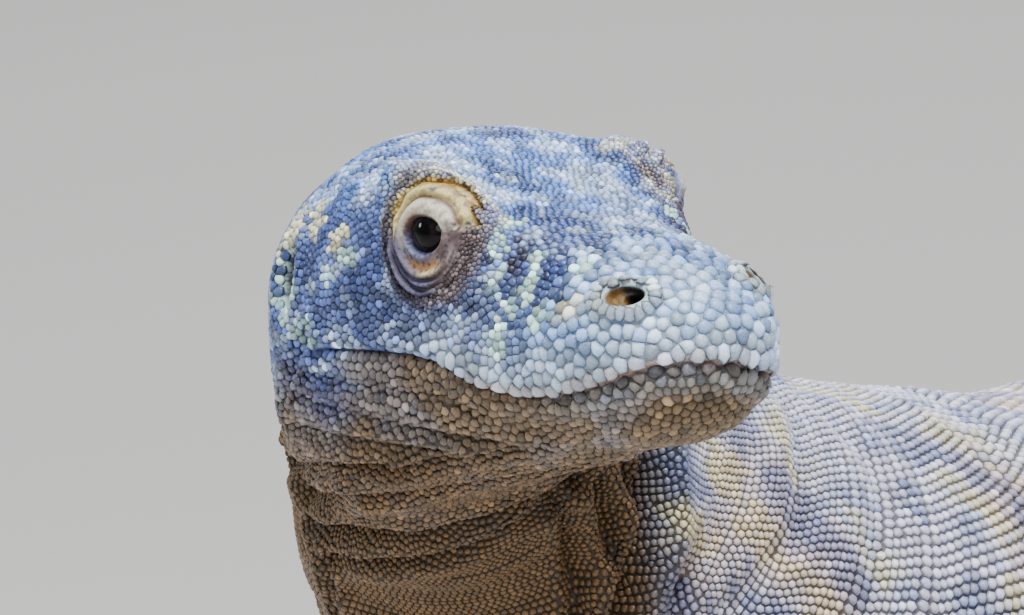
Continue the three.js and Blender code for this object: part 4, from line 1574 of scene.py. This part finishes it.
@dataclass
class Coat:
    """All the scales, laid in rings round the body and as pebbles on the head and feet."""

    hide: Hide
    markings: Markings
    seed: int = 7
    snout_pitch: float = 4.1
    crown_pitch: float = 1.9
    throat_pitch: float = 1.95

    def pitch(self, points: Array) -> Array:
        """Distance between neighbouring scales at each point.

        Args:
            points: in the row frame.

        Returns:
            The distances.
        """
        s, _ = self.hide.spine.round_about(points)
        size = np.interp(s, *SPINE_SIZES)
        leg = self.is_leg(points)
        low = step(110, 40, points[:, 2]) * leg
        size = size * (1 - 0.02 * leg) * (1 - 0.12 * low)
        near = s < 185
        place = HEAD.inward(points[near])
        b, u, rise = place[:, 0], place[:, 2], above_mouth(place)
        head = np.full(len(b), 2.25)
        head += (self.crown_pitch - 2.25) * step(34, 46, u)
        head += (self.snout_pitch - head) * step(56, 34, b)
        head += (3.6 - head) * bump(rise, 4, 4) * step(110, 80, b)
        head += (2.6 - head) * step(-0.5, -5, rise) * step(130, 110, b)
        head += (self.throat_pitch - head) * step(-16, -34, u) * step(20, 60, b)
        for orbit in ORBITS:
            _, _, z, past = orbit.look(place)
            head += (1.25 - head) * step(21, 14, past) * step(-6, -2, z)
        head += (2.5 - head) * step(2.8, 1.9, NOSTRIL.reach(place))
        blend = step(185, 150, s[near])
        size[near] = size[near] * (1 - blend) + head * blend
        return size

    def is_leg(self, points: Array) -> Array:
        """How much each point belongs to a leg: nothing at the leg's root, all further down.

        Args:
            points: in the row frame.

        Returns:
            Shares from 0 to 1.
        """
        owner = self.owner(points)
        share = np.zeros(len(points))
        for i, leg in enumerate(self.hide.legs.values()):
            mine = owner == i + 1
            share[mine] = step(10, 120, leg.station(points[mine]))
        return share

    def owner(self, points: Array) -> Array:
        """0 for the spine's own surface, or the number of the leg that a point belongs to.

        Args:
            points: in the row frame.

        Returns:
            One number for each.
        """
        scores = [self.hide.spine.nearest(points)[1]]
        for leg in self.hide.legs.values():
            ankle = np.linalg.norm(points - leg.centre[-1], axis=1)
            foot = (points[:, 2] < 80) & (ankle < 190)
            scores.append(np.where(foot, 1e-4 * ankle, leg.nearest(points)[1]))
        return np.argmin(np.stack(scores), axis=0)

    def rings(self, line: Line, first: float, last: float, sizes: Sizes) -> Array:
        """Rows of roots in rings round a centre line.

        Args:
            line: the line that the rings go round.
            first: where the first ring is.
            last: where the last ring is.
            sizes: stations and the pitch at each.

        Returns:
            Roots near the hide, in millimetres.
        """
        found, s, odd = [], first, 0
        turn = np.linspace(0, 2 * math.pi, 49)
        cast = self.hide.tree.ray_cast
        while s < last:
            size = float(np.interp(s, *sizes))
            k = (s - line.s[0]) / line.pitch
            i = min(int(k), len(line.s) - 2)
            t = k - i
            centre = line.centre[i] * (1 - t) + line.centre[i + 1] * t
            left = unit(line.left[i] * (1 - t) + line.left[i + 1] * t)
            up = unit(line.up[i] * (1 - t) + line.up[i + 1] * t)
            ways = np.cos(turn)[:, None] * up + np.sin(turn)[:, None] * left
            reach = np.full(len(turn), np.nan)
            origin = Vector(centre)
            for j in range(len(turn) - 1):
                hit = cast(origin, Vector(ways[j]), 260)
                if hit[0] is not None:
                    reach[j] = hit[3]
            reach[-1] = reach[0]
            good = ~np.isnan(reach)
            if good.sum() > 8:
                reach = np.interp(turn, turn[good], reach[good])
                ring = centre + ways * reach[:, None]
                arc = np.concatenate([[0], np.cumsum(np.linalg.norm(np.diff(ring, axis=0), axis=1))])
                n = max(5, round(arc[-1] / size))
                at = (np.arange(n) + 0.5 * odd) * arc[-1] / n
                angle = np.interp(at, arc, turn)
                far = np.interp(at, arc, reach)
                spokes = np.cos(angle)[:, None] * up + np.sin(angle)[:, None] * left
                found.append(centre + spokes * far[:, None])
            s += 0.87 * size
            odd = 1 - odd
        return np.concatenate(found)

    def apart(self, points: Array, room: Array) -> Array:
        """Which points stay when any too near an earlier one go.

        Args:
            points: in the row frame.
            room: the least distance round each.

        Returns:
            Which of them stay.
        """
        tree = search_tree(points)
        keep = np.ones(len(points), bool)
        for i, p in enumerate(points.tolist()):
            if keep[i]:
                for _, j, _ in tree.find_range(p, room[i]):
                    if j > i:
                        keep[j] = False
        return keep

    def scatter(self, rng: np.random.Generator, share: float) -> Array:
        """Random roots on the hide, thicker where the scales are small.

        Args:
            rng: the source of the random places.
            share: how many, as a share of those that fit.

        Returns:
            Roots in millimetres.
        """
        hide = self.hide
        a, b, c = (hide.points[hide.faces[:, k]] for k in range(3))
        area = 0.5 * np.linalg.norm(np.cross(b - a, c - a), axis=1)
        want = area / (0.866 * self.face_pitch**2) * share
        count = rng.poisson(want)
        which = np.repeat(np.arange(len(area)), count)
        u, v = rng.random(len(which)), rng.random(len(which))
        turn = u + v > 1
        u[turn], v[turn] = 1 - u[turn], 1 - v[turn]
        return a[which] + (b - a)[which] * u[:, None] + (c - a)[which] * v[:, None]

    def fill(self, points: Array, share: float, rng: np.random.Generator) -> Array:
        """Extra roots wherever a scale still fits between the others.

        Args:
            points: roots that are there already.
            share: how many to try, as a share of those that fit.
            rng: the source of the random places.

        Returns:
            The extra roots.
        """
        tree = search_tree(points)
        fresh = self.scatter(rng, share)
        fresh = fresh[~bare(fresh)]
        size = self.pitch(fresh)
        gap = np.array([tree.find(p)[2] for p in fresh.tolist()])
        clear = gap > 0.76 * size
        fresh, size = fresh[clear], size[clear]
        return fresh[self.apart(fresh, 0.76 * size)]

    def sow(self) -> Seeds:
        """Lay every root: rings first, then pebbles in what is left.

        Returns:
            All the roots.
        """
        rng = np.random.default_rng(self.seed)
        hide = self.hide
        self.face_pitch = self.pitch(hide.points[hide.faces].mean(1))
        laid = [self.rings(hide.spine, 158.0, 2424.0, SPINE_SIZES)]
        owners = [np.zeros(len(laid[0]))]
        for i, leg in enumerate(hide.legs.values()):
            ring = self.rings(leg, 20.0, leg.s[-1] - 4, LEG_SIZES)
            laid.append(ring)
            owners.append(np.full(len(ring), i + 1.0))
        points, owners = np.concatenate(laid), np.concatenate(owners)
        points, _ = hide.land(points)
        size = self.pitch(points)
        keep = (self.owner(points) == owners) & ~bare(points)
        keep &= ~((HEAD.inward(points)[:, 0] < 138) & (self.hide.spine.round_about(points)[0] < 170))
        points, size = points[keep], size[keep]
        points = points[self.apart(points, 0.66 * size)]
        fixed = len(points)
        LOG.info("scales in rings: %d", fixed)
        for _ in range(4):
            points = np.concatenate([points, self.fill(points, 1.6, rng)])
        loose = np.arange(len(points)) >= fixed
        LOG.info("scales in all: %d", len(points))
        return Seeds(points, loose)

    def neighbours(self, points: Array, which: Array, count: int) -> Array:
        """The nearest other roots of each chosen root.

        Args:
            points: all roots.
            which: numbers of the chosen ones.
            count: how many neighbours to find.

        Returns:
            Numbers of the neighbours, one row for each chosen root.
        """
        tree = search_tree(points)
        out = np.empty((len(which), count), np.int32)
        for n, p in enumerate(points[which].tolist()):
            out[n] = [f[1] for f in tree.find_n(p, count + 1)][1:]
        return out

    def ease(self, seeds: Seeds, rounds: int) -> None:
        """Let the loose roots push each other into even spacing.

        Args:
            seeds: the roots, which move in place.
            rounds: how often to repeat.
        """
        which = np.nonzero(seeds.loose)[0]
        size = self.pitch(seeds.points[which])[:, None]
        for _ in range(rounds):
            near = self.neighbours(seeds.points, which, 7)
            away = seeds.points[which][:, None, :] - seeds.points[near]
            gap = np.linalg.norm(away, axis=2)
            close = np.clip(1.12 * size - gap, 0, None)
            push = close[..., None] * away / np.maximum(gap, 1e-6)[..., None]
            moved = seeds.points[which] + 0.28 * push.sum(1)
            landed, _ = self.hide.land(moved)
            stay = bare(landed)
            landed[stay] = seeds.points[which][stay]
            seeds.points[which] = landed
        keep = self.apart(seeds.points, 0.6 * self.pitch(seeds.points))
        seeds.points, seeds.loose = seeds.points[keep], seeds.loose[keep]

    def top_up(self, seeds: Seeds) -> None:
        """Add loose roots in the gaps that spacing has opened.

        Args:
            seeds: the roots, which are added to in place.
        """
        more = self.fill(seeds.points, 2.0, np.random.default_rng(self.seed + 2))
        seeds.points = np.concatenate([seeds.points, more])
        seeds.loose = np.concatenate([seeds.loose, np.ones(len(more), bool)])

    def cells(self, points: Array, normals: Array, size: Array, lie: Array, sides: int) -> Array:
        """Reach of each scale in a fan of ways, half way to its neighbours.

        Args:
            points: all roots.
            normals: the hide's normals there.
            size: the pitch of each scale.
            lie: the way that each scale points.
            sides: how many ways there are.

        Returns:
            One row of reaches for each root.
        """
        near = self.near
        across = np.cross(normals, lie)
        offset = points[near] - points[:, None, :]
        flat_x = (offset * lie[:, None, :]).sum(2)
        flat_y = (offset * across[:, None, :]).sum(2)
        gap = np.hypot(flat_x, flat_y)
        share = size[:, None] / (size[:, None] + size[near])
        facing = (normals[near] * normals[:, None, :]).sum(2) > 0.1
        turn = np.arange(sides) * 2 * math.pi / sides
        toward = flat_x[..., None] * np.cos(turn) + flat_y[..., None] * np.sin(turn)
        cosine = toward / np.maximum(gap, 1e-6)[..., None]
        reach = (gap * share)[..., None] / np.maximum(cosine, 0.08)
        reach[~facing] = 99.0
        reach[cosine < 0.08] = 99.0
        return np.minimum(reach.min(1), 0.9 * size[:, None])

    def grow(self) -> list[Object]:
        """Make every piece of the coat.

        Returns:
            The finished pieces.
        """
        seeds = self.sow()
        self.ease(seeds, 4)
        self.top_up(seeds)
        self.ease(seeds, 2)
        points, normals = self.hide.land(seeds.points)
        self.near = self.neighbours(points, np.arange(len(points)), 9)
        size = self.pitch(points)
        s, angle = self.hide.spine.round_about(points)
        owner = self.owner(points)
        zone = self.zones(s, owner)
        k, _ = self.hide.spine.nearest(points)
        lie = -self.hide.spine.forward[k]
        for i, leg in enumerate(self.hide.legs.values()):
            mine = owner == i + 1
            kk, _ = leg.nearest(points[mine])
            lie[mine] = -leg.forward[kk]
        lie = unit(lie - normals * (lie * normals).sum(1)[:, None])
        rng = np.random.default_rng(self.seed + 1)
        light = np.exp(rng.normal(0, 0.14 + 0.18 * step(170, 150, s), len(points)))
        colour = self.markings.colours(points, self.is_leg(points)) * light[:, None]
        draw = rng.random(len(points))
        colour = mix(colour, colour * np.array([0.72, 0.84, 1.1]), 0.8 * step(0.65, 1.0, draw))
        colour = mix(colour, colour * np.array([1.16, 1.2, 1.22]), 0.8 * step(0.35, 0.0, draw))
        made = []
        for number, kind in enumerate(Zone):
            sides = 8 if kind is Zone.HEAD else 6
            mine = zone == number
            reach = self.cells(points, normals, size, lie, sides)[mine]
            triangles = mine.sum() * ((6 if kind is Zone.HEAD else 4) * sides - 2)
            parts = max(1, math.ceil(triangles / MOST_TRIANGLES))
            order = self.split(kind, points[mine], s[mine], owner[mine], parts)
            uv = self.unwrap(points[mine], s[mine], angle[mine], owner[mine])
            for part in range(parts):
                pick = order == part
                index = np.nonzero(mine)[0][pick]
                made.append(
                    self.piece(
                        f"scales_{kind.value}_{part + 1}", points[index], normals[index], lie[index],
                        size[index], reach[pick], colour[index], uv[pick], kind,
                    )
                )
        return made

    def zones(self, s: Array, owner: Array) -> Array:
        """The number of the zone that each root is in, by its place along the spine and its leg."""
        return np.where(owner > 0, 4, np.select([s < end for end in ZONE_ENDS], [0, 1, 2], 3))

    def split(self, kind: Zone, points: Array, s: Array, owner: Array, parts: int) -> Array:
        """Share a zone's scales among its pieces, by place.

        Args:
            kind: the zone.
            points: in the row frame.
            s: distance along the spine.
            owner: the leg that each belongs to, or 0.
            parts: how many pieces the zone has.

        Returns:
            The piece number of each root.
        """
        key = s
        if kind is Zone.HEAD:
            key = HEAD.inward(points)[:, 1]
        elif kind is Zone.LEGS:
            key = owner * 1000 + points[:, 2]
        rank = np.argsort(np.argsort(key, kind="stable"), kind="stable")
        return rank * parts // max(len(key), 1)

    def unwrap(self, points: Array, s: Array, angle: Array, owner: Array) -> Array:
        """Each root's place on the hide unrolled along its own centre line, the legs side by side.

        Args:
            points: in the row frame.
            s: distance along the spine.
            angle: angle of each round the spine.
            owner: the leg that each belongs to, or 0.

        Returns:
            Two coordinates for each root.
        """
        flat = np.stack([s, angle], axis=1)
        for i, leg in enumerate(self.hide.legs.values()):
            mine = owner == i + 1
            along, turn = leg.round_about(points[mine])
            flat[mine] = np.stack([along, turn + 7.0 * i], axis=1)
        return flat

    def piece(
        self, name: str, points: Array, normals: Array, lie: Array, size: Array,
        reach: Array, colour: Array, uv: Array, kind: Zone,
    ) -> Object:
        """One mesh of domed scales, with painted shade at their bases and a painted highlight on their
        tops.

        Args:
            name: the piece's name.
            points: roots of the scales.
            normals: the hide's normals there.
            lie: the way each scale points.
            size: pitch of each scale.
            reach: reach of each scale in a fan of ways.
            colour: colour of each scale.
            uv: place of each root on the unrolled hide.
            kind: the zone, which sets the scales' form.

        Returns:
            The finished object.
        """
        n, sides = reach.shape
        across = np.cross(normals, lie)
        turn = np.arange(sides) * 2 * math.pi / sides
        ways = np.cos(turn)[None, :, None] * lie[:, None] + np.sin(turn)[None, :, None] * across[:, None]
        groove = 1.0 if kind is Zone.HEAD else 0.98
        tall = size * (0.3 if kind is Zone.HEAD else 0.31)
        rng = np.random.default_rng(len(points))
        tall = tall * rng.uniform(0.85, 1.15, n)
        # Painted shade at the foot of each scale: its base ring keeps only a small share of its colour.
        painted_base_shade = 0.24 if kind is Zone.HEAD else 0.12
        rings = ((1.06, -0.5), (0.76, 0.68))
        if kind is Zone.HEAD:
            rings = ((1.1, -0.55), (0.88, 0.4), (0.56, 0.82))
        layers, shades = [], []
        for level, (share, height) in enumerate(rings):
            lean = (0.1 * tall * level)[:, None] * np.cos(turn)
            ring = points[:, None] + ways * (share * groove * reach)[..., None]
            layers.append(ring + normals[:, None] * (height * tall[:, None] + lean)[..., None])
            # Painted shade over each dome: the base ring darkest, each ring higher up lighter.
            shade = painted_base_shade if level == 0 else 0.62 + 0.16 * level + 0.1 * (len(rings) == 2)
            shades.append(np.repeat((shade * colour)[:, None], sides, axis=1))
        top = points + normals * tall[:, None] + lie * (0.08 * size)[:, None]
        verts = np.concatenate([*layers, top[:, None]], axis=1).reshape(-1, 3)
        verts[:, 2] = np.maximum(verts[:, 2], 0.0)
        each = sides * len(rings) + 1
        start = (np.arange(n) * each)[:, None, None]
        i = np.arange(sides)
        j = (i + 1) % sides
        blocks = []
        wall = np.stack([i, j, j + sides, i + sides], axis=1)[None]
        for level in range(len(rings) - 1):
            blocks.append((wall + level * sides + start).reshape(-1, 4))
        last = each - 1 - sides
        cap = np.stack([i + last, j + last, np.full(sides, each - 1)], axis=1)[None]
        blocks.append((cap + start).reshape(-1, 3))
        blocks.append((i[::-1][None, None] + start).reshape(-1, sides))
        obj = new_mesh(name, verts, blocks)
        # Painted highlight: the top of each scale is lighter than its colour.
        paint(obj.data, np.concatenate([*shades, 1.12 * colour[:, None]], axis=1).reshape(-1, 3))
        self.map_roots(obj, uv, turn, [share for share, _ in rings])
        return obj

    def map_roots(self, obj: Object, uv: Array, turn: Array, shares: list[float]) -> None:
        """Give the piece a map where each scale is a small patch at its root's place.

        Args:
            obj: the piece.
            uv: place of each root on the unrolled hide.
            turn: the angles of the scales' sides.
            shares: size of each ring of a scale.
        """
        low, high = uv.min(0), uv.max(0)
        root = 0.01 + 0.98 * (uv - low) / np.maximum(high - low, 1e-6)
        fan = np.stack([np.cos(turn), np.sin(turn)], axis=1) * 0.0015
        local = np.concatenate([share * fan for share in shares] + [np.zeros((1, 2))])
        where = (root[:, None] + local[None]).reshape(-1, 2)
        layer = obj.data.uv_layers.new(name="OFBake")
        corners = read(obj.data.loops, "vertex_index", np.int32)
        layer.uv.foreach_set("vector", where[corners].astype(np.float32).ravel())


# ---- finishes


def grain_group() -> bpy.types.NodeTree:
    """A shared effect: fine cloudy tint, roughness and relief over a painted colour.

    Returns:
        The node group.
    """
    group = bpy.data.node_groups.new("skin_grain", "ShaderNodeTree")
    for name, flow, kind in (
        ("Colour", "INPUT", "Color"), ("Place", "INPUT", "Vector"), ("Colour", "OUTPUT", "Color"),
        ("Roughness", "OUTPUT", "Float"), ("Normal", "OUTPUT", "Vector"),
    ):
        group.interface.new_socket(name, in_out=flow, socket_type="NodeSocket" + kind)
    for name in ("Scale", "Tint", "Relief", "Low", "High"):
        group.interface.new_socket(name, in_out="INPUT", socket_type="NodeSocketFloat")
    kinds = {
        "enter": "NodeGroupInput", "leave": "NodeGroupOutput", "noise": "ShaderNodeTexNoise",
        "dim": "ShaderNodeMath", "rise": "ShaderNodeMath", "shade": "ShaderNodeMapRange",
        "times": "ShaderNodeVectorMath", "rough": "ShaderNodeMapRange", "relief": "ShaderNodeBump",
    }
    nodes = {name: group.nodes.new(kind) for name, kind in kinds.items()}
    for name, operation in (("dim", "SUBTRACT"), ("rise", "ADD"), ("times", "SCALE")):
        nodes[name].operation = operation
    for name, socket, value in (
        ("noise", "Detail", 4.0), ("dim", 0, 1.0), ("rise", 0, 1.0), ("relief", "Distance", 0.0004),
        ("shade", "From Min", 0.3), ("shade", "From Max", 0.7),
        ("rough", "From Min", 0.3), ("rough", "From Max", 0.7),
    ):
        nodes[name].inputs[socket].default_value = value
    for giver, gift, taker, socket in (
        ("enter", "Place", "noise", "Vector"), ("enter", "Scale", "noise", "Scale"),
        ("enter", "Tint", "dim", 1), ("enter", "Tint", "rise", 1),
        ("noise", "Fac", "shade", "Value"), ("dim", 0, "shade", "To Min"), ("rise", 0, "shade", "To Max"),
        ("enter", "Colour", "times", 0), ("shade", "Result", "times", "Scale"),
        ("times", "Vector", "leave", "Colour"), ("noise", "Fac", "rough", "Value"),
        ("enter", "Low", "rough", "To Min"), ("enter", "High", "rough", "To Max"),
        ("rough", "Result", "leave", "Roughness"), ("noise", "Fac", "relief", "Height"),
        ("enter", "Relief", "relief", "Strength"), ("relief", "Normal", "leave", "Normal"),
    ):
        group.links.new(nodes[giver].outputs[gift], nodes[taker].inputs[socket])
    return group


def painted_material(name: str) -> tuple[bpy.types.Material, bpy.types.Node, bpy.types.NodeSocket]:
    """A new material for a mesh that carries its colours.

    Args:
        name: the material's name.

    Returns:
        The material, its shader, and the socket that gives the painted colour.
    """
    material = bpy.data.materials.new(name)
    material.use_nodes = True
    painted = material.node_tree.nodes.new("ShaderNodeAttribute")
    painted.attribute_name = PAINT
    return material, material.node_tree.nodes["Principled BSDF"], painted.outputs["Color"]


@dataclass(frozen=True)
class SkinFinish:
    """Matt to softly shining reptile skin, coloured by the markings on its mesh.

    Attributes:
        name: the material's name.
        scale: how fine the grain is.
        tint: how far it lightens and darkens the colour.
        relief: how strongly it stands out.
        low: the least roughness.
        high: the most roughness.
    """

    name: str
    scale: float
    tint: float
    relief: float
    low: float
    high: float

    def make(self, grain: bpy.types.NodeTree) -> bpy.types.Material:
        """The finish as a material.

        Args:
            grain: the shared effect.

        Returns:
            The material.
        """
        material, shader, colour = painted_material(self.name)
        nodes, links = material.node_tree.nodes, material.node_tree.links
        where = nodes.new("ShaderNodeTexCoord")
        effect = nodes.new("ShaderNodeGroup")
        effect.node_tree = grain
        for socket, value in (
            ("Scale", self.scale), ("Tint", self.tint), ("Relief", self.relief), ("Low", self.low),
            ("High", self.high),
        ):
            effect.inputs[socket].default_value = value
        links.new(colour, effect.inputs["Colour"])
        links.new(where.outputs["Object"], effect.inputs["Place"])
        for gift, socket in (("Colour", "Base Color"), ("Roughness",) * 2, ("Normal",) * 2):
            links.new(effect.outputs[gift], shader.inputs[socket])
        return material


@dataclass(frozen=True)
class WetFinish:
    """The dark, wet eyeball."""

    name: str = "wet_eye"

    def make(self) -> bpy.types.Material:
        """The finish as a material.

        Returns:
            The material.
        """
        material, shader, colour = painted_material(self.name)
        material.node_tree.links.new(colour, shader.inputs["Base Color"])
        for socket, value in (("Roughness", 0.06), ("IOR", 1.36), ("Specular IOR Level", 0.3)):
            shader.inputs[socket].default_value = value
        return material


def dress(obj: Object, material: bpy.types.Material) -> None:
    """Give a piece its finish and tie it to the body.

    Args:
        obj: the piece.
        material: its finish.
    """
    obj.data.materials.clear()
    obj.data.materials.append(material)
    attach(obj, "root")


# ---- eyes and claws


@dataclass
class Eyes:
    """Both eyeballs, each a sphere with a bulged cornea and a painted iris."""

    pupil: float = 0.36
    iris: float = 0.66

    def build(self, finish: bpy.types.Material) -> None:
        """Make the two eyeballs in place of the CAD's.

        Args:
            finish: the eyes' material.
        """
        for name, orbit in zip(EYES, ORBITS):
            centre = HEAD.outward(orbit.centre)[0]
            out = HEAD.outward(orbit.centre + orbit.axes()[2])[0] - centre
            deselect()
            bpy.ops.mesh.primitive_uv_sphere_add(segments=48, ring_count=32, radius=orbit.ball * MM)
            obj = bpy.context.active_object
            obj.name = "ball_" + name
            turn = Vector((0, 0, 1)).rotation_difference(Vector(out)).to_matrix().to_4x4()
            obj.data.transform(Matrix.Translation(Vector(centre) * MM) @ turn)
            points, _ = read_points(obj.data)
            along = unit(points - centre) @ out
            angle = np.arccos(np.clip(along, -1, 1))
            points += 0.35 * bump(angle, 0.0, 0.55)[:, None] * out
            write_points(obj.data, points)
            paint(obj.data, self.colours(angle, points))
            obj.data.shade_smooth()
            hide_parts(name)
            dress(obj, finish)
            LOG.info("%s: %d faces", obj.name, len(obj.data.polygons))

    def colours(self, angle: Array, points: Array) -> Array:
        """Pupil, iris and the dark rim round them.

        Args:
            angle: angle of each vertex from the eye's axis.
            points: in the row frame.

        Returns:
            Linear colours.
        """
        count = len(angle)
        inner = glaze(plain((14, 13, 18), count), ((34, 24, 20), step(0.0, 0.8, ripple(points, 1.6, 71))))
        base = glaze(plain((24, 20, 22), count), ((20, 14, 12), bump(angle, self.iris + 0.05, 0.12)))
        base = mix(base, inner, step(self.iris, self.iris - 0.06, angle))
        return glaze(base, ((4, 4, 6), step(self.pupil + 0.05, self.pupil, angle)))


@dataclass
class Claws:
    """All twenty claws, rounded, and set a little way into the toes."""

    root: float = 3.0

    def build(self, finish: bpy.types.Material) -> None:
        """Make one piece of all the claws.

        Args:
            finish: the claws' material.
        """
        names = sorted(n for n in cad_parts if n.startswith("claw_"))
        made = []
        for name in names:
            obj = cad_copy(name, name + "_horn")
            points, _ = read_points(obj.data)
            self.deepen(points)
            write_points(obj.data, points)
            soft = obj.modifiers.new("round", "SUBSURF")
            soft.levels = soft.render_levels = 2
            bpy.ops.object.modifier_apply(modifier="round")
            made.append(obj)
        claws = join(made, "claws")
        points, _ = read_points(claws.data)
        paint(claws.data, self.colours(points))
        claws.data.shade_smooth()
        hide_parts(*names)
        dress(claws, finish)
        LOG.info("claws: %d faces", len(claws.data.polygons))

    def deepen(self, points: Array) -> None:
        """Push the claw's root end back into the toe.

        Args:
            points: vertices of one claw, which move in place.
        """
        axis = np.linalg.svd(points - points.mean(0), full_matrices=False)[2][0]
        along = (points - points.mean(0)) @ axis
        ends = points[along < along.min() + 6], points[along > along.max() - 6]
        first, last = (np.linalg.norm(end - end.mean(0), axis=1).mean() for end in ends)
        sign = -1.0 if first > last else 1.0
        depth = step(0.55, 1.0, sign * along / np.abs(along).max())
        points += sign * axis * (self.root * depth)[:, None]

    def colours(self, points: Array) -> Array:
        """Dark horn with a few paler streaks."""
        streaks = step(0.2, 0.9, ripple(points, 5, 81))
        return glaze(plain((46, 42, 40), len(points)), ((92, 84, 74), streaks))


# ---- studio


@dataclass
class Studio:
    """Floor, lights and camera.

    Attributes:
        distance: from the camera to the snout's end.
        focal: the camera's focal length in pixels.
        elevation: how far the camera looks down, in degrees.
        heading: how far it turns round the upright, in degrees.
        aim: the pixel that the snout's end falls on.
        picture: the picture's width and height in pixels.
        target: where the lights point, in metres.
    """

    distance: float = 2300.0
    focal: float = 8803.0
    elevation: float = 11.0
    heading: float = 140.0
    aim: tuple[float, float] = (744.7, 370.0)
    picture: tuple[int, int] = (1024, 615)
    target: Spot = (0.6, 0.1, 0.3)

    def floor(self) -> None:
        """A wide pale floor under the feet."""
        deselect()
        bpy.ops.mesh.primitive_plane_add(size=240.0)
        floor = bpy.context.active_object
        floor.name = "floor"
        material = bpy.data.materials.new("floor")
        material.use_nodes = True
        shader = material.node_tree.nodes["Principled BSDF"]
        shader.inputs["Base Color"].default_value = (0.62, 0.61, 0.6, 1)
        shader.inputs["Roughness"].default_value = 0.9
        floor.data.materials.append(material)

    def lamp(self, name: str, place: Spot, size: float, power: float, rgb: Rgb) -> None:
        """One soft square light that faces the animal's head and shoulders.

        Args:
            name: the light's name.
            place: where it hangs, in metres.
            size: its width in metres.
            power: its power in watts.
            rgb: its colour, each part from 0 to 1.
        """
        light = bpy.data.lights.new(name, "AREA")
        light.shape = "DISK"
        light.size = size
        light.energy = power
        light.color = rgb
        obj = add_object(name, light)
        obj.location = place
        obj.rotation_euler = (Vector(self.target) - Vector(place)).to_track_quat("-Z", "Y").to_euler()

    def lights(self) -> None:
        """Soft studio light, mostly from above."""
        self.lamp("sky_light", (1.3, 0.9, 3.4), 1.9, 172.0, (1.0, 0.99, 0.97))
        self.lamp("front_light", (3.2, 2.2, 1.6), 1.6, 24.0, (0.97, 0.98, 1.0))
        self.lamp("glint_light", (2.13, -0.98, 0.91), 0.35, 6.0, (1.0, 1.0, 1.0))
        self.lamp("back_light", (-1.6, -2.6, 2.6), 2.4, 60.0, (1.0, 1.0, 1.0))
        world = bpy.data.worlds.new("studio")
        bpy.context.scene.world = world
        world.use_nodes = True
        back = world.node_tree.nodes["Background"]
        back.inputs["Color"].default_value = (0.86, 0.88, 0.92, 1)
        back.inputs["Strength"].default_value = 0.33

    def camera(self) -> None:
        """The camera, in front of the head and a little above it."""
        turn, tilt = math.radians(self.heading), math.radians(self.elevation)
        across = np.array([math.cos(turn), math.sin(turn), 0.0])
        level = np.array([-math.sin(turn), math.cos(turn), 0.0])
        ahead = level * math.cos(tilt) - np.array([0, 0, math.sin(tilt)])
        high = level * math.sin(tilt) + np.array([0, 0, math.cos(tilt)])
        right = (self.aim[0] - self.picture[0] / 2) / self.focal
        rise = -(self.aim[1] - self.picture[1] / 2) / self.focal
        eye = (HEAD.tip - self.distance * (ahead + across * right + high * rise)) * MM
        data = bpy.data.cameras.new("camera")
        data.sensor_width = 36.0
        data.lens = self.focal / self.picture[0] * data.sensor_width
        data.clip_start, data.clip_end = 0.05, 400.0
        camera = add_object("camera", data)
        pose = Matrix.Identity(4)
        for k, axis in enumerate((across, high, -ahead, eye)):
            for i in range(3):
                pose[i][k] = axis[i]
        camera.matrix_world = pose
        bpy.context.scene.camera = camera


def main() -> None:
    """Build the animal piece by piece, then the studio."""
    logging.basicConfig(
        level=logging.INFO, format="%(relativeCreated)6d %(message)s", stream=sys.stdout
    )
    deselect()
    spine = make_spine()
    legs = {name: make_leg(name) for name in LEG_TABLE}
    hide = Hide(spine, legs)
    skin = hide.build()
    markings = Markings(spine)
    coat = Coat(hide, markings)
    grain = grain_group()
    leather = SkinFinish("bare_skin", 1400.0, 0.22, 0.6, 0.42, 0.62).make(grain)
    scale = SkinFinish("scale_horn", 1500.0, 0.16, 0.35, 0.22, 0.42).make(grain)
    horn = SkinFinish("claw_horn", 500.0, 0.25, 0.25, 0.25, 0.45).make(grain)
    colour = markings.colours(hide.points, coat.is_leg(hide.points))
    # The hide between the scales gets painted shade; bare skin keeps its colour.
    shaded = markings.groove_shade(hide.points) * colour
    paint(skin.data, np.where(bare(hide.points)[:, None], colour, shaded))
    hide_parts(*hide.flesh())
    dress(skin, leather)
    LOG.info("hide painted")
    for piece in coat.grow():
        dress(piece, scale)
        LOG.info("%s: %d faces", piece.name, len(piece.data.polygons))
    Eyes().build(WetFinish().make())
    Claws().build(horn)
    studio = Studio()
    studio.floor()
    studio.lights()
    studio.camera()


if __name__ == "__main__":
    main()
